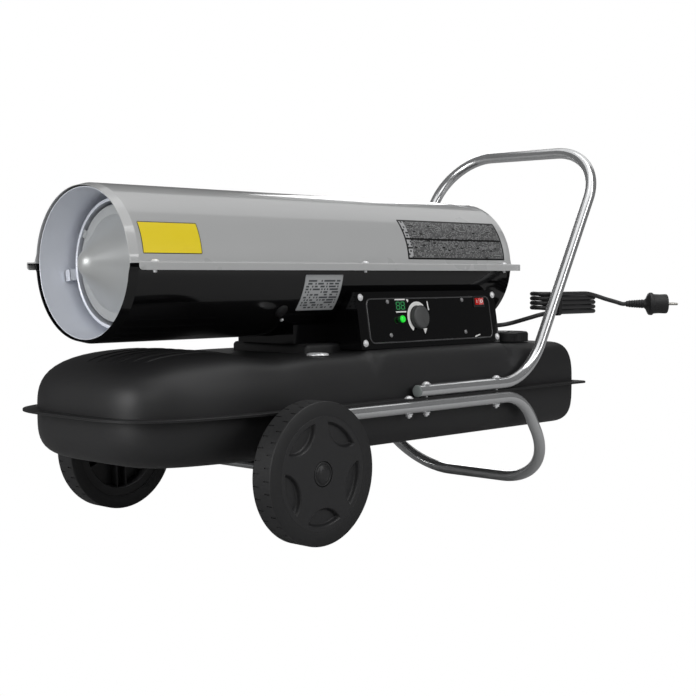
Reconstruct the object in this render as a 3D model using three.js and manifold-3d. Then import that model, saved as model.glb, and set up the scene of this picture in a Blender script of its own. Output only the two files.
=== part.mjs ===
// Forced air heater: a diesel-fired space heater on two wheels, with a fuel tank under a round casing.
// Millimetres. +Z is up, the hot air leaves along -X and the controls are on the -Y side.
// The origin is on the ground, z = 0, under the middle of the heater.

import * as THREE from 'three';
import * as BufferGeometryUtils from 'three/addons/utils/BufferGeometryUtils.js';
import Module from 'manifold-3d';

const wasm = await Module();
wasm.setup();

// ---------------------------------------------------------------- driving dimensions

const GAP = 0.3; // left between pieces that touch
const SHEET = 1.6; // thickness of pressed steel sheet

const casing = { front: -495, rear: 331, radius: 110, axis: 388.2, flange: 20, lip: 9.2 };
const chamber = { front: -438.4, rear: -40, radius: 90, wall: 2 };
const tank = {
  front: -506.2, rear: 449.5, halfWidth: 164.2,
  bottom: 108.5, seam: 181.25, top: 253, crest: 264.8,
};
const seamOverhang = 20; // width of the welded edge round the tank
const platform = { front: -146, rear: 300, halfWidth: 85, top: 267 };
const boxSeat = { front: -76, rear: 262, near: -128, foot: -146, top: 257.5 };
const tube = { radius: 9.7, wall: 1.5, sides: 8 };
const handle = { y: 178.5, front: 1, corner: 288.4, rise: 122, top: [517.5, 596.65], topBend: 103 };
const leg = { y: 180.5, front: -295, corner: 268.2, drop: 88, foot: 375.3, footBend: 119 };
const wheel = { x: -271, y: 223.9, radius: 100, bore: 7.3 };
const axle = { radius: 7, halfLength: 235 };
const saddle = { front: -153, rear: 300, halfWidth: 62 };
const consoleBox = { x: 94.5, halfLength: 172.5, bottom: [-135, 258], top: [-120, 346], plate: 2, wall: 1.5 };
const cord = { radius: 3.8, bend: 31, sides: 8 };
const hank = {
  left: 392.5, right: 504.5, near: -162.5, bottom: 306.3,
  fold: 23, pitch: 8.1, loops: 4, tailStart: 460,
};

const seamTop = tank.seam + GAP / 2 + SHEET;
const seamBottom = tank.seam - GAP / 2 - SHEET;

// ---------------------------------------------------------------- materials

const finish = (color, roughness, metalness) =>
  new THREE.MeshStandardMaterial({ color, roughness, metalness });
const greyPaint = finish('#a9abac', 0.28, 0.2);
const blackPaint = finish('#0c0c0d', 0.2, 0.1);
const satinBlack = finish('#29292a', 0.5, 0.1);
const brightTube = finish('#b9babb', 0.24, 0.95);
const zinc = finish('#c6c8ca', 0.35, 0.9);
const aluminised = finish('#b3b8c3', 0.34, 0.75);
const hotSteel = finish('#8f9292', 0.45, 0.7);
const blackRubber = finish('#1b1b1c', 0.7, 0);
const blackPlastic = finish('#202021', 0.5, 0);
const greyPlastic = finish('#57595b', 0.6, 0);
const brass = finish('#b08d4a', 0.35, 0.9);
const ceramic = finish('#e6e2d8', 0.4, 0);
const redPlastic = finish('#c8201c', 0.35, 0);
const greenLens = finish('#17c02a', 0.25, 0);
const smokedLens = finish('#12201a', 0.15, 0);
const boardGreen = finish('#1d5a34', 0.6, 0);

// ---------------------------------------------------------------- shaping helpers

const vec = (x, y, z) => new THREE.Vector3(x, y, z);
const radians = THREE.MathUtils.degToRad;

function toSolid(geometry) {
  const bare = geometry.clone();
  bare.deleteAttribute('normal');
  bare.deleteAttribute('uv');
  const merged = BufferGeometryUtils.mergeVertices(bare, 1e-4);
  const corners = merged.index.array;
  const faces = [];
  for (let i = 0; i < corners.length; i += 3) {
    const [a, b, c] = corners.slice(i, i + 3);
    if (a !== b && b !== c && c !== a) faces.push([a, b, c]);
  }
  const mesh = new wasm.Mesh({
    numProp: 3,
    vertProperties: new Float32Array(merged.attributes.position.array),
    triVerts: new Uint32Array(faces.flat()),
  });
  return new wasm.Manifold(mesh);
}

function toGeometry(solid) {
  const mesh = solid.getMesh();
  const geometry = new THREE.BufferGeometry();
  geometry.setAttribute('position', new THREE.BufferAttribute(mesh.vertProperties, 3));
  geometry.setIndex(new THREE.BufferAttribute(mesh.triVerts, 1));
  geometry.computeVertexNormals();
  return geometry;
}

const subtract = (body, ...tools) =>
  toGeometry(tools.reduce((solid, tool) => solid.subtract(toSolid(tool)), toSolid(body)));
const join = (body, ...others) =>
  toGeometry(others.reduce((solid, other) => solid.add(toSolid(other)), toSolid(body)));

// Signed volume, which is negative when the faces point inwards.
function volume(geometry) {
  const position = geometry.attributes.position;
  const index = geometry.index ? geometry.index.array : [...Array(position.count).keys()];
  const [a, b, c] = [vec(), vec(), vec()];
  let sum = 0;
  for (let i = 0; i < index.length; i += 3) {
    a.fromBufferAttribute(position, index[i]);
    b.fromBufferAttribute(position, index[i + 1]);
    c.fromBufferAttribute(position, index[i + 2]);
    sum += a.dot(b.cross(c)) / 6;
  }
  return sum;
}

// Turns the faces of an indexed or plain geometry outwards where they point inwards.
function facingOut(geometry) {
  if (volume(geometry) > 0) return geometry;
  const flipped = BufferGeometryUtils.mergeVertices(geometry);
  const index = flipped.index.array;
  for (let i = 0; i < index.length; i += 3) [index[i], index[i + 1]] = [index[i + 1], index[i]];
  return flipped;
}

function box(x0, x1, y0, y1, z0, z1) {
  const geometry = new THREE.BoxGeometry(x1 - x0, y1 - y0, z1 - z0);
  return geometry.translate((x0 + x1) / 2, (y0 + y1) / 2, (z0 + z1) / 2);
}

function outline(points) {
  const corners = points.map(([u, v]) => new THREE.Vector2(u, v));
  return new THREE.Shape(THREE.ShapeUtils.isClockWise(corners) ? corners.reverse() : corners);
}

const holeAt = (u, v, radius) => new THREE.Path().absarc(u, v, radius, 0, 2 * Math.PI, true);
const straight = (depth, curveSegments) => ({ depth, curveSegments, bevelEnabled: false });

// A flat outline given in (y, z), pushed along X.
function extrudeX(shape, x0, x1, curveSegments = 6) {
  const geometry = new THREE.ExtrudeGeometry(shape, straight(x1 - x0, curveSegments));
  const toWorld = new THREE.Matrix4().makeBasis(vec(0, 1, 0), vec(0, 0, 1), vec(1, 0, 0));
  return geometry.applyMatrix4(toWorld).translate(x0, 0, 0);
}

// A flat outline given in (x, z), pushed along Y.
function extrudeY(shape, y0, y1, curveSegments = 6) {
  const geometry = new THREE.ExtrudeGeometry(shape, straight(y1 - y0, curveSegments));
  const toWorld = new THREE.Matrix4().makeBasis(vec(1, 0, 0), vec(0, 0, 1), vec(0, -1, 0));
  return geometry.applyMatrix4(toWorld).translate(0, y1, 0);
}

// A profile of [distance along the axis, radius] pairs, turned about a line along X, Y or Z.
function turned(profile, axis = 'x', segments = 24) {
  const points = profile.map(([along, radius]) => new THREE.Vector2(radius, along));
  const geometry = new THREE.LatheGeometry(points, segments);
  if (axis === 'x') geometry.rotateZ(-Math.PI / 2);
  if (axis === 'z') geometry.rotateX(Math.PI / 2);
  return facingOut(geometry);
}

const rod = (from, to, radius, axis = 'x', segments = 12) =>
  turned([[from, 0], [from, radius], [to, radius], [to, 0]], axis, segments);
const ring = (from, to, inner, outer, axis = 'x', segments = 24) =>
  turned([[from, inner], [to, inner], [to, outer], [from, outer], [from, inner]], axis, segments);

// A path through stations, each with its own tangent, sampled one step per station.
class Route extends THREE.Curve {
  constructor(stations) {
    super();
    this.stations = stations;
  }

  getPoint(t) {
    const place = t * (this.stations.length - 1);
    const i = Math.min(Math.floor(place), this.stations.length - 2);
    return this.stations[i].point.clone().lerp(this.stations[i + 1].point, place - i);
  }

  getTangent(t) {
    return this.stations[Math.round(t * (this.stations.length - 1))].tangent.clone();
  }

  getPointAt(t) {
    return this.getPoint(t);
  }

  getTangentAt(t) {
    return this.getTangent(t);
  }

  get length() {
    const step = (sum, { point }, i) => sum + point.distanceTo(this.stations[i].point);
    return this.stations.slice(1).reduce(step, 0);
  }
}

// Straight stretches joined by round bends: corners are [point, bend radius].
class BentRoute extends Route {
  constructor(corners, stepAngle = radians(18)) {
    super([]);
    corners.forEach(([point, radius], i) => {
      if (i === 0 || i === corners.length - 1) {
        const towards = i === 0 ? corners[1][0].clone().sub(point) : point.clone().sub(corners[i - 1][0]);
        this.stations.push({ point, tangent: towards.normalize() });
        return;
      }
      const before = point.clone().sub(corners[i - 1][0]).normalize();
      const after = corners[i + 1][0].clone().sub(point).normalize();
      const angle = before.angleTo(after);
      const reach = radius * Math.tan(angle / 2);
      const inward = after.clone().sub(before).normalize();
      const centre = point.clone().addScaledVector(inward, radius / Math.cos(angle / 2));
      const start = point.clone().addScaledVector(before, -reach).sub(centre);
      const steps = Math.max(2, Math.ceil(angle / stepAngle));
      for (let k = 0; k <= steps; k++) {
        const turn = (angle * k) / steps;
        const [cos, sin] = [Math.cos(turn), Math.sin(turn)];
        const offset = start.clone().multiplyScalar(cos).addScaledVector(before, radius * sin);
        const tangent = before.clone().multiplyScalar(cos).addScaledVector(start, -sin / radius);
        this.stations.push({ point: centre.clone().add(offset), tangent: tangent.normalize() });
      }
    });
  }
}

// A tube or rod along a bent route; bore 0 leaves it solid.
function pipe(route, radius, bore, sides) {
  const ringOf = (r) => Array.from({ length: sides }, (_, i) => {
    const angle = (2 * Math.PI * (i + 0.5)) / sides;
    return [r * Math.cos(angle), r * Math.sin(angle)];
  });
  const section = outline(ringOf(radius));
  if (bore > 0) section.holes.push(new THREE.Path(ringOf(bore).map(([u, v]) => new THREE.Vector2(u, v))));
  const steps = route.stations.length - 1;
  return facingOut(new THREE.ExtrudeGeometry(section, { steps, extrudePath: route, bevelEnabled: false }));
}

// A closed skin through rings of equal, even point count. Each ring starts on the middle plane and is
// mirrored about it, so the faces that close the end rings run straight across from side to side.
function loft(rings) {
  const count = rings[0].length;
  const last = (rings.length - 1) * count;
  const faces = [];
  for (let i = 0; i < count; i++) {
    const next = (i + 1) % count;
    for (let r = 0; r < rings.length - 1; r++) {
      const [a, b, c, d] = [r * count + i, r * count + next, (r + 1) * count + next, (r + 1) * count + i];
      faces.push(a, b, c, a, c, d);
    }
  }
  for (let i = 0; i < count / 2; i++) {
    const [a, b, c, d] = [i, i + 1, count - i - 1, (count - i) % count];
    if (i < count / 2 - 1) faces.push(a, c, b, last + a, last + b, last + c);
    if (i > 0) faces.push(a, d, c, last + a, last + c, last + d);
  }
  const geometry = new THREE.BufferGeometry();
  const numbers = rings.flat().flatMap((point) => point.toArray());
  geometry.setAttribute('position', new THREE.Float32BufferAttribute(numbers, 3));
  geometry.setIndex(faces);
  return facingOut(geometry);
}

const heater = new THREE.Group();
heater.name = 'forced_air_heater';

function place(name, geometry, material, parent = heater) {
  geometry.computeVertexNormals();
  const mesh = new THREE.Mesh(geometry, material);
  mesh.name = name;
  parent.add(mesh);
  return mesh;
}

const sides = [['near', -1], ['far', 1]];

// Points of an arc about the casing's axis in (y, z), with angles in degrees from +Y towards +Z.
function casingArc(radius, from, to, steps) {
  return Array.from({ length: steps + 1 }, (_, i) => {
    const angle = radians(from + ((to - from) * i) / steps);
    return [radius * Math.cos(angle), casing.axis + radius * Math.sin(angle)];
  });
}

// ---------------------------------------------------------------- casing: two half shells with a bolted seam

const ARC_STEPS = 20;
const seamEdge = casing.radius + casing.flange;
const shellTilt = THREE.MathUtils.radToDeg(Math.asin((GAP / 2 + SHEET) / casing.radius));

const upperHalf = [
  [-seamEdge, casing.axis - casing.lip],
  [-seamEdge, casing.axis + GAP / 2 + SHEET],
  ...casingArc(casing.radius, 180 - shellTilt, shellTilt, ARC_STEPS),
  [seamEdge, casing.axis + GAP / 2 + SHEET],
  [seamEdge, casing.axis - casing.lip],
  [seamEdge - SHEET, casing.axis - casing.lip],
  [seamEdge - SHEET, casing.axis + GAP / 2],
  ...casingArc(casing.radius - SHEET, 0.1, 179.9, ARC_STEPS),
  [SHEET - seamEdge, casing.axis + GAP / 2],
  [SHEET - seamEdge, casing.axis - casing.lip],
];
place('upper_shell', extrudeX(outline(upperHalf), casing.front, casing.rear), greyPaint);

const lowerEdge = seamEdge - SHEET - 0.5;
const lowerHalf = [
  [-lowerEdge, casing.axis - GAP / 2],
  ...casingArc(casing.radius - SHEET, 180.1, 359.9, ARC_STEPS),
  [lowerEdge, casing.axis - GAP / 2],
  [lowerEdge, casing.axis - GAP / 2 - SHEET],
  ...casingArc(casing.radius, 360 - shellTilt, 180 + shellTilt, ARC_STEPS),
  [-lowerEdge, casing.axis - GAP / 2 - SHEET],
];
const fuelLineX = 20;
const fuelLineHole = (z0, z1) => rod(z0, z1, 3.8, 'z').translate(fuelLineX, 0, 0);
const lowerShell = extrudeX(outline(lowerHalf), casing.front, casing.rear);
place('lower_shell', subtract(lowerShell, fuelLineHole(270, 290)), blackPaint);

// ---------------------------------------------------------------- burner train, all round the casing's axis

const burnerTrain = new THREE.Group();
burnerTrain.position.z = casing.axis;
heater.add(burnerTrain);

const liner = { front: -491, rear: -96, outer: 104.5, wall: 1.2 };
const linerTube = ring(liner.front, liner.rear, liner.outer - liner.wall, liner.outer, 'x', 36);
place('outlet_liner', linerTube, aluminised, burnerTrain);

const burnerHole = 36.6;
const chamberBody = turned([
  [chamber.front, chamber.radius - chamber.wall], [chamber.front, chamber.radius + 1.5],
  [chamber.front + 4, chamber.radius + 1.5], [chamber.front + 4, chamber.radius],
  [chamber.rear, chamber.radius], [chamber.rear, burnerHole],
  [chamber.rear - chamber.wall, burnerHole], [chamber.rear - chamber.wall, chamber.radius - chamber.wall],
  [chamber.front, chamber.radius - chamber.wall],
], 'x', 32);
const standOffs = [-10, 110, 230].map((angle) =>
  box(chamber.front - 12, chamber.front + 30, chamber.radius - 1, 102.4, -8, 8).rotateX(radians(angle)));
place('combustion_chamber', join(chamberBody, ...standOffs), hotSteel, burnerTrain);

// A blunt cone that points at the outlet, on a dished plate with three lugs inside the chamber.
const cone = {
  tip: -501, tipRadius: 15.6, base: -441, baseRadius: 64, wall: 1.5,
  plate: -436, plateRadius: 82,
};
const deflector = turned([
  [cone.tip, 0], [cone.tip, cone.tipRadius], [cone.base, cone.baseRadius],
  [cone.plate, cone.baseRadius + 1.5], [cone.plate, cone.plateRadius],
  [cone.plate + cone.wall, cone.plateRadius],
  [cone.plate + cone.wall, cone.baseRadius - 0.4], [cone.base + 0.8, cone.baseRadius - 2],
  [cone.tip + cone.wall, cone.tipRadius - 0.9], [cone.tip + cone.wall, 0],
], 'x', 28);
const lugs = [30, 150, 270].map((angle) =>
  box(cone.plate, cone.plate + cone.wall, 78, 87.1, -6, 6).rotateX(radians(angle)));
place('flame_deflector', join(deflector, ...lugs), hotSteel, burnerTrain);

const burner = { front: -100, rear: -10, mouth: 14, outer: 36, wall: 1.5, flange: 50 };
place('burner_head', turned([
  [burner.front, burner.mouth], [burner.front, burner.outer], [-39.7, burner.outer], [-39.7, burner.flange],
  [-37.7, burner.flange], [-37.7, burner.outer], [burner.rear, burner.outer],
  [burner.rear, burner.outer - burner.wall], [burner.front + burner.wall, burner.outer - burner.wall],
  [burner.front + burner.wall, burner.mouth], [burner.front, burner.mouth],
], 'x', 24), hotSteel, burnerTrain);

// The star plate that carries the nozzle, the spark electrode and the flame sensor.
const holderDisc = new THREE.Shape().absarc(0, 0, 34.1, 0, 2 * Math.PI);
const airHoles = [30, 150, 210, 330].map((angle) => radians(angle))
  .map((angle) => holeAt(22 * Math.cos(angle), 22 * Math.sin(angle), 6));
holderDisc.holes.push(holeAt(0, 0, 6.6), holeAt(0, 18, 4), holeAt(0, -18, 5.5), ...airHoles);
place('nozzle_holder', extrudeX(holderDisc, -34, -32, 6), zinc, burnerTrain);
const nozzleRear = -8;
const nozzleProfile = [[-70, 0], [-70, 2.5], [-64, 6.2], [nozzleRear, 6.2], [nozzleRear, 0]];
place('fuel_nozzle', turned(nozzleProfile, 'x', 12), brass, burnerTrain);
place('spark_electrode', turned([[-84, 0], [-84, 1.2], [-72, 1.2], [-72, 3.6], [-14, 3.6], [-14, 0]], 'x', 8)
  .translate(0, 0, 18), ceramic, burnerTrain);
place('flame_sensor', rod(-44, -14, 5, 'x', 10).translate(0, 0, -18), blackPlastic, burnerTrain);

const fan = { x: 130, hub: 20, bore: 4.3, tip: 93, pitch: 35, blades: 5 };
const fanHub = ring(fan.x - 12, fan.x + 12, fan.bore, fan.hub, 'x', 16);
const bladeShape = outline([[-12, 16], [12, 16], [30, 60], [28, fan.tip], [-28, fan.tip], [-30, 60]]);
const blade = (k) => extrudeX(bladeShape, -1, 1).rotateZ(radians(fan.pitch)).translate(fan.x, 0, 0)
  .rotateX((2 * Math.PI * k) / fan.blades);
const impeller = join(fanHub, ...Array.from({ length: fan.blades }, (_, k) => blade(k)));
place('fan_impeller', impeller, aluminised, burnerTrain);
place('fan_shaft', rod(fan.x - 14, 175, 4, 'x', 16), zinc, burnerTrain);
place('fan_motor', turned([
  [176, 0], [176, 4.3], [160, 4.3], [160, 36], [166, 41.7], [264, 41.7], [270, 36], [270, 0],
], 'x', 24), greyPlastic, burnerTrain);
const arm = (angle) => box(200, 203, -7, 7, 44, 107.4).rotateX(angle);
const bracketArms = [0, 120, 240].map((angle) => arm(radians(angle)));
place('motor_bracket', join(ring(200, 203, 42, 48, 'x', 24), ...bracketArms), zinc, burnerTrain);
const pumpProfile = [[270.3, 0], [270.3, 34], [292, 34], [296, 28], [302, 28], [302, 0]];
place('air_pump', turned(pumpProfile, 'x', 20), aluminised, burnerTrain);

// The stamped guard in the air inlet, with rings of curved slots.
const guard = new THREE.Shape().absarc(0, 0, 107.6, 0, 2 * Math.PI);
const slotRings = [[16, 38], [45, 67], [74, 96]];
for (const [inner, outer] of slotRings) {
  for (let quarter = 0; quarter < 4; quarter++) {
    const bar = 5 / inner;
    const [from, to] = [(quarter * Math.PI) / 2 + bar / 2, ((quarter + 1) * Math.PI) / 2 - bar / 2];
    const slot = new THREE.Path().absarc(0, 0, outer, from, to, false);
    guard.holes.push(slot.absarc(0, 0, inner, to, from, true));
  }
}
place('rear_guard', extrudeX(guard, 325.5, 327, 4), blackPaint, burnerTrain);

// The pump's air hose: down beside the fan and in through the air space to the burner head.
const down = vec(0, -0.5, -Math.sqrt(0.75));
const hoseRadius = 102.4;
const hoseAt = (x, radius) => down.clone().multiplyScalar(radius).setX(x);
const hoseRoute = new BentRoute([
  [hoseAt(284, 34.4)], [hoseAt(284, hoseRadius), 12], [hoseAt(-22, hoseRadius), 12], [hoseAt(-22, 36.4)],
], radians(30));
place('air_hose', pipe(hoseRoute, 3, 0, 8), blackRubber, burnerTrain);

// ---------------------------------------------------------------- fuel tank: two pressed halves, one rim

const smooth = (value, from, to) => THREE.MathUtils.smoothstep(value, from, to);

// One ring of the tank's plan outline: a blunt superellipse nose, straight sides and rounded rear corners.
function planRing({ front, rear, halfWidth, nose, power, corner }) {
  const half = [];
  const noseSteps = 11;
  for (let i = 0; i <= noseSteps; i++) {
    const angle = (Math.PI / 2) * (i / noseSteps);
    const across = Math.sin(angle) ** (2 / power);
    const along = i === noseSteps ? 0 : Math.cos(angle) ** (2 / power);
    half.push([front + nose * (1 - along), -halfWidth * across]);
  }
  half.push([(front + nose + rear) / 2, -halfWidth]);
  for (let i = 0; i <= 3; i++) {
    const angle = (Math.PI / 2) * (i / 3);
    half.push([rear - corner * (1 - Math.sin(angle)), -halfWidth + corner * (1 - Math.cos(angle))]);
  }
  return [...half, [rear, 0], ...half.slice(1).reverse().map(([x, y]) => [x, -y])];
}

// The rounded shoulder from the outline at the rim to the flat: part goes from 0 to 1 along it.
function tankHalf({ inset, base, height, frontReach, sideReach, midReach, rearReach, power }) {
  const nose = 380;
  const plan = { rear: tank.rear - inset, nose, power: 4.8, corner: 12 };
  const outer = planRing({ ...plan, front: tank.front + inset, halfWidth: tank.halfWidth - inset });
  const innerPlan = { ...plan, rear: plan.rear - rearReach, nose: nose - frontReach / 2, corner: 8 };
  const innerWidth = tank.halfWidth - sideReach;
  const inner = planRing({ ...innerPlan, front: tank.front + frontReach, halfWidth: innerWidth });
  const widening = (tank.halfWidth - midReach) / innerWidth;
  const steps = 6;
  const rings = [];
  for (let k = 0; k <= steps; k++) {
    const angle = (Math.PI / 2) * (k / steps);
    const part = k === steps ? 1 : 1 - Math.cos(angle) ** (2 / power);
    const lift = Math.sin(angle) ** (2 / power);
    rings.push(outer.map(([x, y], i) => {
      const blend = smooth(x, tank.front + 71, tank.front + 271);
      const innerY = inner[i][1] * THREE.MathUtils.lerp(1, widening, blend);
      const at = [THREE.MathUtils.lerp(x, inner[i][0], part), THREE.MathUtils.lerp(y, innerY, part)];
      return vec(at[0], at[1], base + lift * height(at[0]));
    }));
  }
  return rings;
}

const rimPlan = {
  front: tank.front - seamOverhang, rear: tank.rear + seamOverhang - 5,
  halfWidth: tank.halfWidth + seamOverhang,
  nose: 400, power: 4.42, corner: 14,
};
const rimRing = (z) => planRing(rimPlan).map(([x, y]) => vec(x, y, z));

function tankShell({ outerFace, innerFace, height, ...reach }) {
  const outside = tankHalf({ ...reach, inset: 0, base: outerFace, height });
  const inside = tankHalf({ ...reach, inset: SHEET, base: innerFace, height });
  return loft([...outside.reverse(), rimRing(outerFace), rimRing(innerFace), ...inside]);
}

const upperTank = tankShell({
  outerFace: seamTop, innerFace: tank.seam + GAP / 2,
  height: (x) => THREE.MathUtils.lerp(tank.crest, tank.top, smooth(x, -345, -255)) - seamTop,
  frontReach: 174, sideReach: 103, midReach: 42, rearReach: 26, power: 3.05,
});
const lowerTank = tankShell({
  outerFace: seamBottom, innerFace: tank.seam - GAP / 2,
  height: () => tank.bottom - seamBottom,
  frontReach: 115.3, sideReach: 88.4, midReach: 60, rearReach: 34, power: 3.86,
});

const filler = { x: 353, y: -85, hole: 26 };
const gauge = { x: -160, y: -121, hole: 7 };
const platformAt = (inset, bottom) => box(platform.front + inset, platform.rear - inset,
  inset - platform.halfWidth, platform.halfWidth - inset, bottom, platform.top - inset);
const platformBlock = platformAt(0, tank.top - 1);
const platformHollow = platformAt(SHEET, tank.top - 12);
const seatShape = outline([
  [-platform.halfWidth, tank.top - 5], [-platform.halfWidth, boxSeat.top], [boxSeat.near, boxSeat.top],
  [boxSeat.foot, tank.top - 12], [boxSeat.foot + 12, tank.top - 12],
]);
const boxSeatBlock = extrudeX(seatShape, boxSeat.front, boxSeat.rear);
const boltPlaces = [[20.2, 'front'], [199, 'rear']];
const boltY = 179.5;
const rimHoles = sides.flatMap(([, side]) =>
  boltPlaces.map(([x]) => rod(150, 215, 2.8, 'z', 8).translate(x, side * boltY, 0)));
const fillerHole = rod(235, 265, filler.hole, 'z', 20).translate(filler.x, filler.y, 0);
const gaugeHole = rod(235, 265, gauge.hole, 'z').translate(gauge.x, gauge.y, 0);
const topHoles = [...rimHoles, fuelLineHole(240, 280), fillerHole, gaugeHole];
const topSheet = join(upperTank, platformBlock, boxSeatBlock);
place('tank_upper', subtract(topSheet, platformHollow, ...topHoles), satinBlack);
place('tank_lower', subtract(lowerTank, ...rimHoles), satinBlack);

place('filler_strainer', turned([
  [254.6, 24.4], [254.6, 30], [253.3, 30], [253.3, 25.6], [196, 25.6],
  [196, 0], [197.2, 0], [197.2, 24.4], [254.6, 24.4],
], 'z', 20).translate(filler.x, filler.y, 0), greyPlastic);
place('filler_cap', turned([[255, 0], [255, 38], [270, 38], [272.5, 35], [272.5, 0]], 'z', 24)
  .translate(filler.x, filler.y, 0), blackPlastic);
place('fuel_gauge', turned([
  [150, 0], [150, 6], [253.3, 6], [253.3, 16.5], [257.3, 16.5], [257.3, 0],
], 'z', 16).translate(gauge.x, gauge.y, 0), zinc);

const fuelRoute = new BentRoute([
  [vec(fuelLineX, 0, 126)], [vec(fuelLineX, 0, casing.axis), 20], [vec(nozzleRear + GAP, 0, casing.axis)],
], radians(30));
place('fuel_line', pipe(fuelRoute, 3, 0, 8), blackRubber);
place('suction_filter', turned([[112, 0], [112, 10], [122, 10], [125.7, 4], [125.7, 0]], 'z', 12)
  .translate(fuelLineX, 0, 0), brass);

// ---------------------------------------------------------------- saddle: the tray that carries the casing

const trayBottom = platform.top + GAP;
const casingClearance = casing.radius + 0.8;
const trayAngle = THREE.MathUtils.radToDeg(Math.acos(saddle.halfWidth / casingClearance));
const trayOutside = outline([
  [-saddle.halfWidth, trayBottom], [saddle.halfWidth, trayBottom],
  ...casingArc(casingClearance, -trayAngle, trayAngle - 180, 8),
]);
const trayHollow = box(saddle.front + SHEET, saddle.rear - SHEET,
  SHEET - saddle.halfWidth, saddle.halfWidth - SHEET, trayBottom + SHEET, 320);
const trayBlock = extrudeX(trayOutside, saddle.front, saddle.rear);
const tray = subtract(trayBlock, trayHollow, fuelLineHole(255, 280));
place('saddle', tray, blackPaint);

// ---------------------------------------------------------------- control box beside the saddle

const boxFront = consoleBox.x - consoleBox.halfLength;
const boxRear = consoleBox.x + consoleBox.halfLength;
const panelVector = new THREE.Vector2(...consoleBox.top).sub(new THREE.Vector2(...consoleBox.bottom));
const panelTilt = Math.atan2(panelVector.x, panelVector.y);
const setBack = consoleBox.plate + GAP;
const frontLow = [consoleBox.bottom[0] + setBack * Math.cos(panelTilt), consoleBox.bottom[1]];
const frontHigh = [consoleBox.top[0] + setBack * Math.cos(panelTilt), consoleBox.top[1]];
const { wall } = consoleBox;
const boxBack = -(saddle.halfWidth + GAP);
const underside = [[-89, frontLow[1]], [-86.5, platform.top + 1], [boxBack, platform.top + 1]];
const angleAtY = (radius, y) => 180 + THREE.MathUtils.radToDeg(Math.acos(-y / radius));
const angleAtZ = (radius, z) => 180 + THREE.MathUtils.radToDeg(Math.asin((casing.axis - z) / radius));
const hollowUnder = (radius, y, z) => casingArc(radius, angleAtY(radius, y), angleAtZ(radius, z), 6);
const boxOutline = outline([
  frontLow, ...underside, ...hollowUnder(casingClearance, boxBack, frontHigh[1]), frontHigh,
]);
const [low, high, back] = [frontLow[1] + wall, frontHigh[1] - wall, boxBack - wall];
const hollowOutline = outline([
  [-145, low], [-88 - wall, low], [-85.5 - wall, platform.top + 1 + wall], [back, platform.top + 1 + wall],
  ...hollowUnder(casingClearance + wall, back, high), [-145, high],
]);
const boxShell = subtract(extrudeX(boxOutline, boxFront, boxRear),
  extrudeX(hollowOutline, boxFront + wall, boxRear - wall));
place('control_box', boxShell, blackPaint);
place('circuit_board', box(10, 130, -99, -97.4, 274, 326), boardGreen);
place('ignition_transformer', box(170, 230, -110, -72, 271.5, 298), blackPlastic);

// The panel and its controls are set out on the tilted plane: x along it, z up it, +y into the box.
const panel = new THREE.Group();
const panelMiddle = new THREE.Vector2(...consoleBox.bottom).addScaledVector(panelVector, 0.5);
panel.position.set(consoleBox.x, panelMiddle.x, panelMiddle.y);
panel.rotation.x = -panelTilt;
heater.add(panel);

const knob = { x: -33.5, z: 2, radius: 18.8 };
const switchAt = { x: 126.5, z: 25.5 };
const displayAt = { x: -73, z: 22 };
const lamp = { x: -77.4, z: 0, radius: 5.8 };
const blockAt = ({ x, z }, halfX, halfZ, y0, y1) => box(x - halfX, x + halfX, y0, y1, z - halfZ, z + halfZ);
const panelPlate = box(-consoleBox.halfLength, consoleBox.halfLength, 0, consoleBox.plate, -44.4, 44.4);
place('control_panel', subtract(panelPlate,
  rod(-5, 5, 4.2, 'y').translate(knob.x, 0, knob.z),
  blockAt(switchAt, 12.5, 8, -5, 5),
  blockAt(displayAt, 12.8, 11.5, -5, 5),
  rod(-5, 5, lamp.radius + GAP, 'y', 16).translate(lamp.x, 0, lamp.z)), blackPaint, panel);
place('display_window', blockAt(displayAt, 12.5, 11.2, -0.8, 3), smokedLens, panel);
const lampBody = turned([[-9, 0], [-9, 4.2], [-7.6, lamp.radius], [6, lamp.radius], [6, 0]], 'y', 16);
place('heat_lamp', lampBody.translate(lamp.x, 0, lamp.z), greenLens, panel);

const knobBody = turned([
  [-10, 0], [-10, 17.4], [-8.8, knob.radius], [-0.4, knob.radius], [-0.4, 3.8], [7, 3.8], [7, 0],
], 'y', 24);
place('thermostat_knob', knobBody, greyPlastic, panel).position.set(knob.x, 0, knob.z);
const thermostatBody = subtract(box(-14, 14, 2.4, 20, -12, 12), rod(0, 8, 4.2, 'y'));
place('thermostat_body', thermostatBody, blackPlastic, panel).position.set(knob.x, 0, knob.z);

const pocket = { halfX: 10.9, halfZ: 6, depth: 9 };
const switchBody = subtract(join(box(-14.5, 14.5, -2, -0.3, -9.6, 9.6), box(-12.2, 12.2, -1, 18, -7.7, 7.7)),
  box(-pocket.halfX, pocket.halfX, -5, pocket.depth, -pocket.halfZ, pocket.halfZ));
place('power_switch', switchBody, blackPlastic, panel).position.set(switchAt.x, 0, switchAt.z);
const rocker = { pivot: 3, tilt: 8, halfZ: 5.6 };
const rockerOutline = outline([[-9.3, -7], [0, -5.4], [9.3, -7], [8.4, 1.2], [-8.4, 1.2]]);
const rockerBody = new THREE.ExtrudeGeometry(rockerOutline, straight(2 * rocker.halfZ, 2));
rockerBody.translate(0, 0, -rocker.halfZ);
const rockerMesh = place('switch_rocker', rockerBody, redPlastic, panel);
rockerMesh.position.set(switchAt.x, rocker.pivot, switchAt.z);
rockerMesh.rotation.z = radians(-rocker.tilt);

// ---------------------------------------------------------------- handle and leg loops of bright steel tube

const handleAxis = seamTop + GAP + tube.radius;
const legAxis = seamBottom - GAP - tube.radius;

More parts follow.
